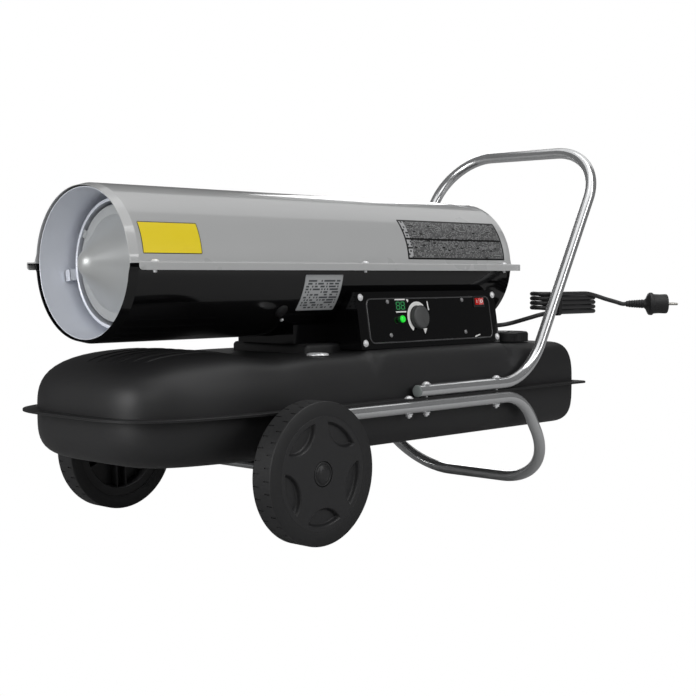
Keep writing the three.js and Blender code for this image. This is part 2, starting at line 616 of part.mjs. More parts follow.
const handleRoute = new BentRoute([
  [vec(handle.front, -handle.y, handleAxis)],
  [vec(handle.corner, -handle.y, handleAxis), handle.rise],
  [vec(handle.top[0], -handle.y, handle.top[1]), handle.topBend],
  [vec(handle.top[0], handle.y, handle.top[1]), handle.topBend],
  [vec(handle.corner, handle.y, handleAxis), handle.rise],
  [vec(handle.front, handle.y, handleAxis)],
]);
const handleTube = pipe(handleRoute, tube.radius, tube.radius - tube.wall, tube.sides);
place('handle_tube', subtract(handleTube, ...rimHoles), brightTube);

const legRoute = new BentRoute([
  [vec(leg.front, -leg.y, legAxis)],
  [vec(leg.corner, -leg.y, legAxis), leg.drop],
  [vec(leg.foot, -leg.y, tube.radius), leg.footBend],
  [vec(leg.foot, leg.y, tube.radius), leg.footBend],
  [vec(leg.corner, leg.y, legAxis), leg.drop],
  [vec(leg.front, leg.y, legAxis)],
]);
const legTube = pipe(legRoute, tube.radius, tube.radius - tube.wall, tube.sides);
place('leg_tube', subtract(legTube, ...rimHoles), brightTube);

for (const [name, side] of sides) {
  const endPlug = turned([
    [handle.front - 2.3, 0], [handle.front - 2.3, 8.5], [handle.front - 1.3, 9.5],
    [handle.front - GAP, 9.5], [handle.front - GAP, 7.2], [handle.front + 12, 7.2], [handle.front + 12, 0],
  ], 'x', 12);
  place(`tube_plug_${name}`, endPlug.translate(0, side * handle.y, handleAxis), blackPlastic);
  for (const [x, where] of boltPlaces) {
    const head = handleAxis + tube.radius + GAP;
    const nut = legAxis - tube.radius - GAP;
    const bolt = turned([
      [nut - 5.5, 0], [nut - 5.5, 5], [nut, 5], [nut, 2.5],
      [head, 2.5], [head, 5.5], [head + 4, 5.5], [head + 4, 0],
    ], 'z', 8);
    place(`${where}_bolt_${name}`, bolt.translate(x, side * boltY, 0), zinc);
  }
}

// ---------------------------------------------------------------- axle and wheels

const axleRod = rod(-axle.halfLength, axle.halfLength, axle.radius, 'y', 16);
place('axle', axleRod.translate(wheel.x, 0, wheel.radius), zinc);

for (const [name, side] of sides) {
  const bracketShape = outline([[-20, 59.2], [20, 59.2], [13, -4], [8, -10], [-8, -10], [-13, -4]]);
  bracketShape.holes.push(holeAt(0, 0, 7.5));
  const bracket = extrudeY(bracketShape, -2, 2, 8);
  place(`axle_bracket_${name}`, bracket.translate(wheel.x, side * leg.y, wheel.radius), blackPaint);
}

const tyreProfile = [
  [-15, 80], [-17.7, 88], [-17, 96], [-12.5, wheel.radius],
  [12.5, wheel.radius], [17, 96], [17.7, 88], [15, 80], [-15, 80],
];
const discProfile = [
  [-17, wheel.bore], [-17, 17], [-6, 19], [-6, 64], [-14, 68], [-14, 79.7],
  [15, 79.7], [15, 17], [14, 17], [14, wheel.bore], [-17, wheel.bore],
];
const recess = { count: 5, first: 56, inner: 48, outer: 70, halfAngle: 24, innerHalfAngle: 13, depth: 8 };

// A half-moon recess in the outer face of the wheel disc, in (x, z) about the wheel's centre.
function recessShape(middle) {
  const at = (radius, degrees) => {
    const angle = radians(middle + degrees);
    return [radius * Math.cos(angle), radius * Math.sin(angle)];
  };
  const rim = [-1, -1 / 3, 1 / 3, 1].map((part) => at(recess.outer, recess.halfAngle * part));
  return outline([...rim, at(recess.inner, recess.innerHalfAngle), at(recess.inner, -recess.innerHalfAngle)]);
}

for (const [name, side] of sides) {
  const outward = (geometry) => (side < 0 ? facingOut(geometry.scale(1, -1, 1)) : geometry);
  const tyre = outward(turned(tyreProfile, 'y', 32));
  const recesses = Array.from({ length: recess.count }, (_, k) =>
    extrudeY(recessShape(recess.first + (360 * k) / recess.count), 15 - recess.depth, 20));
  const disc = outward(subtract(turned(discProfile, 'y', 32), ...recesses));
  place(`tyre_${name}`, tyre, blackRubber).position.set(wheel.x, side * wheel.y, wheel.radius);
  place(`wheel_disc_${name}`, disc, blackPlastic).position.set(wheel.x, side * wheel.y, wheel.radius);
  const cap = outward(turned([[14.3, 0], [14.3, 16.5], [16.5, 15.5], [17.7, 9], [17.7, 0]], 'y', 16));
  place(`hub_cap_${name}`, cap, blackPlastic).position.set(wheel.x, side * wheel.y, wheel.radius);
}

// ---------------------------------------------------------------- mains lead: gland, lead, hank, tail, plug

const gland = { y: -95, z: 284, end: 296 };
place('cable_gland', turned([
  [boxRear + GAP, 0], [boxRear + GAP, 10], [boxRear + 8, 10],
  [boxRear + 8, 7.5], [gland.end, 5.2], [gland.end, 0],
], 'x', 12).translate(0, gland.y, gland.z), blackPlastic);

// The lead runs straight out of the gland, then up and across to the first run of the hank.
const leadRoute = new BentRoute([
  [vec(gland.end + GAP, gland.y, gland.z)],
  [vec(336, gland.y, gland.z), cord.bend],
  [vec(366, hank.near, hank.bottom), cord.bend],
  [vec(hank.left - GAP, hank.near, hank.bottom)],
]);
place('cord_lead', pipe(leadRoute, cord.radius, 0, cord.sides), blackRubber);

// Four long loops on top of each other, flat on the near side and climbing one pitch on the far side.
const foldSteps = 11;
const far = hank.near + 2 * hank.fold;
const hankStations = [{ point: vec(hank.left, hank.near, hank.bottom), tangent: vec(1, 0, 0) }];
for (let loop = 0; loop < hank.loops; loop++) {
  const level = hank.bottom + hank.pitch * loop;
  for (const [x, z, start] of [[hank.right, level, -90], [hank.left, level + hank.pitch, 90]]) {
    for (let i = 0; i <= foldSteps; i++) {
      const angle = radians(start + (180 * i) / foldSteps);
      const middle = (hank.near + far) / 2;
      hankStations.push({
        point: vec(x + hank.fold * Math.cos(angle), middle + hank.fold * Math.sin(angle), z),
        tangent: vec(-Math.sin(angle), Math.cos(angle), 0),
      });
    }
  }
}
const hankTop = hank.bottom + hank.pitch * hank.loops;
hankStations.push({ point: vec(hank.tailStart, hank.near, hankTop), tangent: vec(1, 0, 0) });
const hankRoute = new Route(hankStations);
place('cord_hank', pipe(hankRoute, cord.radius, 0, 6), blackRubber);

// The least distance between the surfaces of turns that lie more than half a fold apart along the cord.
function leastGap(route) {
  const points = [];
  const { stations } = route;
  for (let i = 1; i < stations.length; i++) {
    const [from, to] = [stations[i - 1].point, stations[i].point];
    const count = Math.ceil(from.distanceTo(to) / 3);
    for (let k = 0; k < count; k++) points.push(from.clone().lerp(to, k / count));
  }
  const apart = Math.ceil((Math.PI * hank.fold) / 2 / 3);
  let least = Infinity;
  points.forEach((point, i) => {
    for (let j = i + apart; j < points.length; j++) least = Math.min(least, point.distanceTo(points[j]));
  });
  return least - 2 * cord.radius;
}
console.log(`cord_hank: least gap between turns ${leastGap(hankRoute).toFixed(2)} mm`);

// The tail slips off the top run, past the last fold, and droops under the plug's weight.
const plugDirection = vec(0.687, -0.727, 0).normalize();
const plugStart = vec(548.2, -207.7, 319.4);
const tailCurve = new THREE.CatmullRomCurve3([
  vec(hank.tailStart + GAP, hank.near, hankTop), vec(474, -163, 338.7), vec(488, -165.8, 338.1),
  vec(506, -170.4, 334.4), vec(522, -180, 328.6), vec(536, -193.5, 323),
  plugStart.clone().addScaledVector(plugDirection, -7), plugStart,
], false, 'centripetal');
const tailSteps = 14;
const tailRoute = new Route(Array.from({ length: tailSteps + 1 }, (_, i) => {
  const u = i / tailSteps;
  return { point: tailCurve.getPointAt(u), tangent: tailCurve.getTangentAt(u) };
}));
tailRoute.stations[0].tangent.set(1, 0, 0);
tailRoute.stations[tailSteps].tangent.copy(plugDirection);
place('cord_tail', pipe(tailRoute, cord.radius, 0, cord.sides), blackRubber);
const cordLength = leadRoute.length + hankRoute.length + tailRoute.length;
console.log(`cord length from gland to plug ${cordLength.toFixed(0)} mm`);

// The round two-pin plug, turned about local +Y, with its strain relief.
const plug = new THREE.Group();
plug.position.copy(plugStart).addScaledVector(plugDirection, GAP);
plug.quaternion.setFromUnitVectors(vec(0, 1, 0), plugDirection);
heater.add(plug);
const plugLength = 74.4;
place('plug_body', turned([
  [0, 0], [0, 5.2], [34, 7.5], [36, 11], [40, 19], [43, 20.5], [47, 20.5], [48, 17.8],
  [plugLength - 2, 17.8], [plugLength, 16], [plugLength, 0],
], 'y', 16), blackRubber, plug);
for (const [name, side] of sides) {
  const pin = rod(plugLength + GAP, plugLength + 17.5, 2.4, 'y', 8);
  place(`plug_pin_${name}`, pin.translate(side * 9.5, 0, 0), zinc, plug);
}

// The tie that holds the near runs of the hank to the far side of the handle tube.
const tie = { x: 394, width: 10, pad: 30, band: 1.6, clear: cord.radius + 0.45 };
const tieOuter = tie.clear + tie.band;
const roundHank = (x0, x1, clear) =>
  box(x0, x1, hank.near - clear, hank.near + clear, hank.bottom - clear, hankTop + clear);
const tieHole = roundHank(tie.x - 1, tie.x + tie.width + 1, tie.clear);
const tieBlock = roundHank(tie.x, tie.x + tie.width, tieOuter);
const tiePad = box(
  tie.x - tie.pad, tie.x + 4, tube.radius + GAP - handle.y, hank.near - tie.clear - 0.4, 318, 330);
place('cord_tie', join(subtract(tieBlock, tieHole), tiePad), blackPlastic);

export default heater;
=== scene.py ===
# Forced air heater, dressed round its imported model: a diesel-fired blower on two wheels with a fuel tank.
# Shapes are worked out in millimetres and stored in metres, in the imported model's own frame.

import math

import bmesh
import bpy
from mathutils import Matrix, Vector
from mathutils.bvhtree import BVHTree


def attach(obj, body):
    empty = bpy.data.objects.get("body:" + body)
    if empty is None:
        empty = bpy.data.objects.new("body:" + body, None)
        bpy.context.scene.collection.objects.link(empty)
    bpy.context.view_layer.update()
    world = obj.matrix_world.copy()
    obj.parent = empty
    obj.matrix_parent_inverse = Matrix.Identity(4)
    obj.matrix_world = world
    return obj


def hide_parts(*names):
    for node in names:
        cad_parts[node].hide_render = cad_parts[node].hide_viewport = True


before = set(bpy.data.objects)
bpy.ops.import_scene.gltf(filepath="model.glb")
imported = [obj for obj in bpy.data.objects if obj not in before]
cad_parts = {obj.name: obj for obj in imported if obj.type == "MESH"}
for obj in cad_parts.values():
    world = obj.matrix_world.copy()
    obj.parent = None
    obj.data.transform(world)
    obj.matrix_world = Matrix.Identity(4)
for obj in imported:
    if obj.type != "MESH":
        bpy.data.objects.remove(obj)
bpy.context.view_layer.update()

MM = 0.001
scene = bpy.context.scene


# ---- Camera, floor and light ---------------------------------------------------------------------------
# A long lens at handle height, from the outlet's side. The ground is plain white, as in a cut-out picture,
# and large soft boxes give gloss paint broad bands and the tubes thin bright lines.

def srgb(code):
    channels = [int(code[i:i + 2], 16) / 255 for i in (1, 3, 5)]
    return [*(c / 12.92 if c <= 0.04045 else ((c + 0.055) / 1.055) ** 2.4 for c in channels), 1.0]


def add(tree, kind, settings=None, links=None):
    """One node. A setting is a property of the node or the value of its socket of that name or number."""
    node = tree.nodes.new(kind)
    for key, value in (settings or {}).items():
        if isinstance(key, str) and hasattr(node, key):
            setattr(node, key, value)
        else:
            node.inputs[key].default_value = value
    for key, source in (links or {}).items():
        tree.links.new(source, node.inputs[key])
    return node


lens = bpy.data.cameras.new("camera")
lens.lens, lens.sensor_width = 69.80, 36
camera = bpy.data.objects.new("camera", lens)
camera.location = (-1.5797, -1.5260, 0.3737)
camera.rotation_euler = (math.radians(86.856), 0, math.radians(-46.588))
scene.collection.objects.link(camera)
scene.camera = camera
scene.view_settings.view_transform = "Standard"

card = bpy.data.materials.new("white card")
card.use_nodes = True
card.node_tree.nodes["Principled BSDF"].inputs["Base Color"].default_value = srgb("#b4b4b4")
card.node_tree.nodes["Principled BSDF"].inputs["Roughness"].default_value = 0.9
bpy.ops.mesh.primitive_plane_add(size=14)
floor = bpy.context.object
floor.name = "floor"
floor.data.materials.append(card)
floor.visible_camera = False

# The ground behind the heater is pure white. Its own light on things is dim, and dimmer still in gloss.
world = bpy.data.worlds.new("studio")
world.use_nodes = True
scene.world = world
seen = add(world.node_tree, "ShaderNodeLightPath")
white = add(world.node_tree, "ShaderNodeBackground", {"Color": srgb("#ffffff"), "Strength": 1.0})
around = add(world.node_tree, "ShaderNodeBackground", {"Color": srgb("#fafafb"), "Strength": 0.34})
mirrored = add(world.node_tree, "ShaderNodeBackground", {"Color": srgb("#fafafb"), "Strength": 0.1})
unseen = add(world.node_tree, "ShaderNodeMixShader",
             links={0: seen.outputs["Is Glossy Ray"], 1: around.outputs[0], 2: mirrored.outputs[0]})
both = add(world.node_tree, "ShaderNodeMixShader",
           links={0: seen.outputs["Is Camera Ray"], 1: unseen.outputs[0], 2: white.outputs[0]})
world.node_tree.links.new(both.outputs[0], world.node_tree.nodes["World Output"].inputs["Surface"])

# Name, place, aim, size, radiance, and whether gloss shows the box and whether it lights matt surfaces.
SOFT_BOXES = [
    ("overhead", (1.4, 0.3, 1.9), (1.4, 0.3, 0), (3.6, 1.3), 0.8, True, False),
    ("key", (-2.2, -2.4, 2.0), (-0.2, 0, 0.3), (2.0, 1.6), 1.7, True, True),
    ("fill", (1.1, -2.8, 1.2), (0, 0, 0.35), (1.8, 1.2), 4.3, False, True),
    ("strip", (0.7, -2.8, 1.9), (-0.4, 0, 0.45), (0.6, 2.6), 4.0, True, False),
    ("hem", (0.66, -0.7, 2.5), (0.66, -0.7, 0), (0.3, 2.6), 4.0, True, False),
    ("ceiling", (-0.5, -0.9, 2.5), (-0.5, -0.9, 0), (2.0, 2.2), 1.1, True, False),
    ("outlet", (-2.7, 0.2, 0.9), (-0.45, 0, 0.38), (1.4, 1.2), 5.6, True, True),
    ("rim", (2.4, 1.9, 1.2), (0.3, 0, 0.4), (0.6, 1.6), 3.0, True, True),
]
for name, place, aim, size, radiance, in_gloss, on_matt in SOFT_BOXES:
    light = bpy.data.lights.new(name, "AREA")
    light.shape = "RECTANGLE"
    light.size, light.size_y = size
    light.energy = radiance * math.pi * size[0] * size[1]
    lamp = bpy.data.objects.new(name, light)
    lamp.location = place
    lamp.rotation_euler = (Vector(aim) - Vector(place)).to_track_quat("-Z", "Y").to_euler()
    lamp.visible_glossy, lamp.visible_diffuse = in_gloss, on_matt
    scene.collection.objects.link(lamp)


# ---- Mains cord ------------------------------------------------------------------------------------------
# Round rubber-sheathed flex, 7.6 mm thick. It leaves the control box, climbs to a hank of four loops that
# a clip holds behind the handle tube, and its tail slips over the last fold and droops to the plug.

COAT_ROUGHNESS = 0.06


def finish(name, colour, other, roughness, metallic=0.0, coat=0.0, patch=60, grain=1.5, relief=0.02,
           spread=0.05, stretch=(1, 1, 1)):
    """A surface of two close colours in patches, with fine grain. Patch, grain and relief are in mm."""
    material = bpy.data.materials.new(name)
    material.use_nodes = True
    tree = material.node_tree
    shader = tree.nodes["Principled BSDF"]
    for socket, value in (("Metallic", metallic), ("Coat Weight", coat), ("Coat Roughness", COAT_ROUGHNESS)):
        shader.inputs[socket].default_value = value
    place = add(tree, "ShaderNodeTexCoord")
    laid = add(tree, "ShaderNodeMapping", {"Scale": stretch}, {"Vector": place.outputs["Object"]})
    patches = add(tree, "ShaderNodeTexNoise", {"Scale": 1 / (patch * MM), "Detail": 4.0},
                  {"Vector": laid.outputs[0]})
    mixed = add(tree, "ShaderNodeMix", {"data_type": "RGBA", 6: srgb(colour), 7: srgb(other)},
                {0: patches.outputs["Fac"]})
    rough = add(tree, "ShaderNodeMapRange", {3: roughness - spread, 4: roughness + spread},
                {0: patches.outputs["Fac"]})
    grains = add(tree, "ShaderNodeTexNoise", {"Scale": 1 / (grain * MM), "Detail": 2.0},
                 {"Vector": laid.outputs[0]})
    bump = add(tree, "ShaderNodeBump", {"Strength": 1.0, "Distance": relief * MM},
               {"Height": grains.outputs["Fac"]})
    tree.links.new(mixed.outputs[2], shader.inputs["Base Color"])
    tree.links.new(rough.outputs[0], shader.inputs["Roughness"])
    tree.links.new(bump.outputs[0], shader.inputs["Normal"])
    return material


def bent(corners, step=6):
    """Points along straight stretches joined by round bends. A corner is (point, bend radius)."""
    points = [Vector(corners[0][0])]
    for (before, _), (corner, radius), (after, _) in zip(corners, corners[1:], corners[2:]):
        before, corner, after = Vector(before), Vector(corner), Vector(after)
        into, out = (corner - before).normalized(), (after - corner).normalized()
        angle = into.angle(out)
        centre = corner + (out - into).normalized() * radius / math.cos(angle / 2)
        start = corner - into * radius * math.tan(angle / 2) - centre
        count = max(2, round(math.degrees(angle) / step))
        for k in range(count + 1):
            turn = angle * k / count
            points.append(centre + start * math.cos(turn) + into * radius * math.sin(turn))
    return points + [Vector(corners[-1][0])]


def rounded(points, steps):
    """A smooth line through points, with steps between each pair."""
    line = []
    padded = [2 * points[0] - points[1], *points, 2 * points[-1] - points[-2]]
    for a, b, c, d in zip(padded, padded[1:], padded[2:], padded[3:]):
        for k in range(steps):
            t = k / steps
            line.append(0.5 * (2 * b + (c - a) * t + (2 * a - 5 * b + 4 * c - d) * t ** 2
                               + (3 * b - a - 3 * c + d) * t ** 3))
    return line + [points[-1]]


FLEX, LEAD_BEND = 7.6, 31
NEAR_RUN, FOLD, BOTTOM, PITCH, LOOPS = -162.5, 23, 306.3, 8.1, 4
LEFT, RIGHT = 392.5, 504.5
HANK_TOP = BOTTOM + PITCH * LOOPS
EXIT = Vector((296.3, -95, 284))
lead = bent([(EXIT, 0), ((336, EXIT.y, EXIT.z), LEAD_BEND), ((366, NEAR_RUN, BOTTOM), LEAD_BEND),
             ((LEFT, NEAR_RUN, BOTTOM), 0)])
hank = []
for loop in range(LOOPS):
    for x, z, start in ((RIGHT, BOTTOM + PITCH * loop, -90), (LEFT, BOTTOM + PITCH * (loop + 1), 90)):
        for k in range(19):
            angle = math.radians(start + 10 * k)
            hank.append(Vector((x + FOLD * math.cos(angle), NEAR_RUN + FOLD + FOLD * math.sin(angle), z)))
PLUG_WAY = Vector((0.687, -0.727, 0)).normalized()
PLUG_START = Vector((548.2, -207.7, 319.4))
tail = rounded([Vector(p) for p in (
    (460, -162.5, HANK_TOP), (474, -163, 338.7), (488, -165.8, 338.1), (506, -170.4, 334.4),
    (522, -180, 328.6), (536, -193.5, 323))] + [PLUG_START - 7 * PLUG_WAY, PLUG_START], 4)
route = lead[:-1] + hank + tail

# Rubber sheath: nearly black, with a soft wide sheen along every turn of the hank.
sheath = finish("black rubber cord sheath", "#2a2a2b", "#303031", 0.42, patch=30, grain=0.8, relief=0.03)
flex = bpy.data.curves.new("mains_cord", "CURVE")
flex.dimensions = "3D"
flex.bevel_depth = FLEX / 2 * MM
flex.bevel_resolution = 5
flex.use_fill_caps = True
strand = flex.splines.new("POLY")
strand.points.add(len(route) - 1)
for point, place in zip(strand.points, route):
    point.co = (*(place * MM), 1)
cord = bpy.data.objects.new("mains_cord", flex)
scene.collection.objects.link(cord)
flex.materials.append(sheath)
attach(cord, "base")
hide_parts("cord_lead", "cord_hank", "cord_tail")


# ---- Plug, gland and cord clip ---------------------------------------------------------------------------
# A moulded two-pin plug with a grip collar and a ribbed relief, on nickel-plated pins. The gland is a
# nylon strain relief in the control box, and the clip is a moulded strap that hooks on the handle tube.

def turned(profile, axis="x", steps=64):
    """A surface from (distance along the axis, radius) pairs. They close on themselves or on the axis."""
    vertices, faces, rings = [], [], []
    for along, radius in profile:
        ring = []
        for k in range(steps if radius > 0 else 1):
            angle = 2 * math.pi * k / steps
            u, v = radius * math.cos(angle), radius * math.sin(angle)
            ring.append(len(vertices))
            vertices.append({"x": (along, u, v), "y": (v, along, u), "z": (u, v, along)}[axis])
        rings.append(ring)
    for a, b in zip(rings, rings[1:]):
        for k in range(steps):
            n = (k + 1) % steps
            corners = [a[k % len(a)], a[n % len(a)], b[n % len(b)], b[k % len(b)]]
            corners = list(dict.fromkeys(corners))
            if len(corners) > 2:
                faces.append(corners)
    return vertices, faces


def block(x0, x1, y0, y1, z0, z1):
    vertices = [(x, y, z) for x in (x0, x1) for y in (y0, y1) for z in (z0, z1)]
    return vertices, [(0, 1, 3, 2), (4, 6, 7, 5), (0, 4, 5, 1), (2, 3, 7, 6), (0, 2, 6, 4), (1, 5, 7, 3)]


def moved(shape, place):
    return [place @ Vector(v) for v in shape[0]], shape[1]


def joined(*shapes):
    vertices, faces = [], []
    for some, more in shapes:
        faces += [[i + len(vertices) for i in face] for face in more]
        vertices += list(some)
    return vertices, faces


def shown(name, shape, material, crease=35, bevel=0.0):
    """A mesh object of a shape in millimetres, with its faces turned outwards and its round parts smooth."""
    mesh = bpy.data.meshes.new(name)
    mesh.from_pydata([Vector(v) * MM for v in shape[0]], [], shape[1])
    work = bmesh.new()
    work.from_mesh(mesh)
    bmesh.ops.remove_doubles(work, verts=work.verts, dist=1e-6)
    bmesh.ops.recalc_face_normals(work, faces=work.faces)
    work.to_mesh(mesh)
    work.free()
    mesh.shade_smooth()
    mesh.set_sharp_from_angle(angle=math.radians(crease))
    mesh.materials.append(material)
    piece = bpy.data.objects.new(name, mesh)
    scene.collection.objects.link(piece)
    if bevel:
        edge = piece.modifiers.new("edge", "BEVEL")
        edge.width, edge.segments, edge.limit_method = bevel * MM, 2, "ANGLE"
        edge.angle_limit = math.radians(crease)
    return piece


def fit(piece, body, slot, *nodes):
    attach(piece, body)
    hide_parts(*nodes)
    return piece


SIDES = (("near", -1), ("far", 1))
PIN_SIDE, PLUG_RIBS = 9.5, 6
plug_turn = Vector((0, 1, 0)).rotation_difference(PLUG_WAY).to_matrix().to_4x4()
plug_place = Matrix.Translation(PLUG_START + 0.3 * PLUG_WAY) @ plug_turn
# Moulded rubber: a dull, faintly pebbled skin that stays darker than the pins.
plug_rubber = finish("moulded black rubber plug", "#1a1a1b", "#202021", 0.5, patch=25, grain=1.0, relief=0.05)
plug_profile = [(0, 0), (0, 4.9), (1, 5.3), (4, 5.6)]
for k in range(PLUG_RIBS):
    along, wider = 4.4 * k, 0.3 * k
    plug_profile += [(5 + along, 5.5 + wider), (5.6 + along, 6.4 + wider), (8 + along, 6.4 + wider),
                     (8.6 + along, 5.5 + wider)]
plug_profile += [(33, 8), (35.5, 10), (38, 15), (40, 18.8), (41.5, 20.2), (43, 20.5), (46.4, 20.5),
                 (47.4, 20), (48, 18.2), (52, 17.6), (60, 17.2), (71.4, 17.6), (73.6, 17), (74.4, 15.6),
                 (74.4, 0)]
plug_body = shown("plug_moulding", moved(turned(plug_profile, "y", 48), plug_place), plug_rubber, 30)
fit(plug_body, "base", "black_rubber", "plug_body")
# Nickel plate: a warm mirror, a little blurred.
nickel = finish("nickel-plated brass", "#c9c7c0", "#d5d3cd", 0.22, 1.0, patch=8, grain=0.6, relief=0.01)
pin_profile = [(74.7, 0), (74.7, 2.4), (89.6, 2.4), (91.2, 1.9), (91.9, 0.9), (91.9, 0)]
for name, side in SIDES:
    pin = moved(turned(pin_profile, "y", 24), plug_place @ Matrix.Translation((side * PIN_SIDE, 0, 0)))
    fit(shown(f"plug_contact_{name}", pin, nickel), "base", "zinc", f"plug_pin_{name}")

# Nylon: black, with a faint even sheen.
nylon = finish("black nylon moulding", "#161617", "#1c1c1d", 0.45, patch=20, grain=0.7, relief=0.03)
gland_profile = [(267.3, 0), (267.3, 10), (272, 10), (273, 9), (275.3, 9), (275.5, 7.5)]
for k in range(4):
    gland_profile += [(277 + 4.6 * k, 7.4 - 0.45 * k), (278.4 + 4.6 * k, 6.3 - 0.4 * k),
                      (280 + 4.6 * k, 7.2 - 0.45 * k)]
gland_profile += [(295, 5.2), (296, 4.8), (296, 0)]
gland = moved(turned(gland_profile, "x", 40), Matrix.Translation((0, EXIT.y, EXIT.z)))
fit(shown("strain_relief", gland, nylon, 30), "base", "black_plastic", "cable_gland")

TIE_X, TIE_WIDTH, STRAP, TIE_GAP = 394, 10, 1.6, 0.5
PAD_LENGTH, PAD_Y, PAD_Z = 30, (-168.5, -167.0), (318, 330)
strap_line = []
reach = FLEX / 2 + TIE_GAP + STRAP / 2
for z, start in ((HANK_TOP, 0), (BOTTOM, 180)):
    for k in range(13):
        angle = math.radians(start + 15 * k)
        strap_line.append((NEAR_RUN + reach * math.cos(angle), z + reach * math.sin(angle)))
strap = []
for inward in (0.5, -0.5):
    for x in (TIE_X, TIE_X + TIE_WIDTH):
        for y, z in strap_line:
            away = Vector((0, y - NEAR_RUN, z - min(max(z, BOTTOM), HANK_TOP))).normalized()
            strap.append(Vector((x, y, z)) + away * STRAP * inward)
n = len(strap_line)
strap_faces = []
for k in range(n):
    m = (k + 1) % n
    for a, b in ((0, 1), (1, 3), (3, 2), (2, 0)):
        strap_faces.append((a * n + k, a * n + m, b * n + m, b * n + k))
pad = block(TIE_X - PAD_LENGTH, TIE_X + 4, *PAD_Y, *PAD_Z)
tie = shown("cord_clip", joined((strap, strap_faces), pad), nylon, 40, bevel=0.5)
fit(tie, "base", "black_plastic", "cord_tie")


# ---- Fuel tank --------------------------------------------------------------------------------------------
# Two deep-drawn steel halves, seam-welded at a flat rim and powder-coated satin black. The nose is blunt
# and round-shouldered with pressed beads on top, and a flat bed towards the rear carries the casing.

TANK = {"front": -506.2, "rear": 449.5, "half_width": 164.2, "seam": 181.25, "nose": 380, "nose_power": 4.8,
        "corner": 12, "shoulder_corner": 8}
SHEET, SEAM_GAP = 1.6, 0.15
RIM = {"overhang": 20, "rear_overhang": 15, "nose": 400, "nose_power": 4.42, "corner": 14}
SEAM_TOP = TANK["seam"] + SEAM_GAP + SHEET
SEAM_BOTTOM = TANK["seam"] - SEAM_GAP - SHEET
SEAT_FRONT, SEAT_REAR, SEAT_UP, SEAT_OUT = -76, 262, 4.5, 9
CREST, DECK, UNDERSIDE, CREST_FALL = 264.8, 253, 108.5, (-345, -255)
FLAT_WIDENS, SEAT_RAMP = (71, 271), (8, 4)
NOSE_STEPS, SIDE_STEPS, CORNER_STEPS = 48, 72, 8


def skin(rings, count, ends=True):
    """Faces round a body of rings with count points each, and across its first and last ring."""
    faces = [(r * count + i, r * count + (i + 1) % count, (r + 1) * count + (i + 1) % count,
              (r + 1) * count + i) for r in range(rings - 1) for i in range(count)]
    last = (rings - 1) * count
    return faces + ([list(range(count)), list(range(last, last + count))] if ends else [])


def eased(t, power):
    """0 to 1 with its steps drawn together at both ends."""
    return 0.5 * (2 * t) ** power if t < 0.5 else 1 - 0.5 * (2 - 2 * t) ** power


def smooth(value, low, high):
    """0 at low and 1 at high, with an easy start and end."""
    t = min(max((value - low) / (high - low), 0), 1)
    return t * t * (3 - 2 * t)


def plan_ring(front, rear, half_width, nose, power, corner):
    """The tank's outline from above: a superellipse nose, straight sides and rounded rear corners."""
    half = []
    for i in range(NOSE_STEPS + 1):
        angle = math.pi / 2 * eased(i / NOSE_STEPS, 2.2)
        across = math.sin(angle) ** (2 / power)
        along = max(math.cos(angle), 0) ** (2 / power) if i < NOSE_STEPS else 0
        half.append((front + nose * (1 - along), -half_width * across))
    start = front + nose
    half += [(start + (rear - corner - start) * k / SIDE_STEPS, -half_width) for k in range(1, SIDE_STEPS)]
    for i in range(CORNER_STEPS + 1):
        angle = math.pi / 2 * i / CORNER_STEPS
        half.append((rear - corner * (1 - math.sin(angle)), -half_width + corner * (1 - math.cos(angle))))
    return half + [(rear, 0)] + [(x, -y) for x, y in half[:0:-1]]


def on_seat(x):
    """1 along the flat that is pressed up under the control box, and 0 beyond its ends."""
    out, up = SEAT_RAMP
    return smooth(x, SEAT_FRONT - out, SEAT_FRONT + up) * smooth(x, SEAT_REAR + out, SEAT_REAR - up)


def tank_half(rim, edge, height, front_reach, side_reach, mid_reach, rear_reach, power, inset, steps=18):
    """Rings from the rim over the rounded shoulder to the flat. Edge is 1 upwards and -1 downwards."""
    front, rear, width = TANK["front"] + inset, TANK["rear"] - inset, TANK["half_width"] - inset
    outer = plan_ring(front, rear, width, TANK["nose"], TANK["nose_power"], TANK["corner"])
    inner = plan_ring(TANK["front"] + front_reach, rear - rear_reach, TANK["half_width"] - side_reach,
                      TANK["nose"] - front_reach / 2, TANK["nose_power"], TANK["shoulder_corner"])
    flat = (TANK["half_width"] - mid_reach) / (TANK["half_width"] - side_reach)
    rings = []
    for k in range(steps + 1):
        angle = math.pi / 2 * eased(k / steps, 1.5)
        part = 1 - max(math.cos(angle), 0) ** (2 / power) if k < steps else 1
        lift = math.sin(angle) ** (2 / power)
        ring = []
        for (x, y), (xi, yi) in zip(outer, inner):
            yi *= 1 + (flat - 1) * smooth(x, *(TANK["front"] + way for way in FLAT_WIDENS))
            if edge > 0 and y < 0:
                yi -= SEAT_OUT * on_seat(x)
            xk, yk = x + (xi - x) * part, y + (yi - y) * part
            ring.append(Vector((xk, yk, rim + edge * lift * height(xk, yk))))
        rings.append(ring)
    return rings


def lofted(rings):
    """A closed skin through rings that mirror about the middle plane, with both end rings closed across."""
    count = len(rings[0])
    faces = skin(len(rings), count, ends=False)
    for base in (0, (len(rings) - 1) * count):
        for i in range(count // 2):
            corners = [base + i, base + i + 1, base + count - i - 1, base + (count - i) % count]
            faces.append(list(dict.fromkeys(corners)))
    return [v for ring in rings for v in ring], faces


def rim_ring(z, inset=0.0):
    ring = plan_ring(TANK["front"] - RIM["overhang"] + inset, TANK["rear"] + RIM["rear_overhang"] - inset,
                     TANK["half_width"] + RIM["overhang"] - inset, RIM["nose"], RIM["nose_power"],
                     RIM["corner"])
    return [Vector((x, y, z)) for x, y in ring]


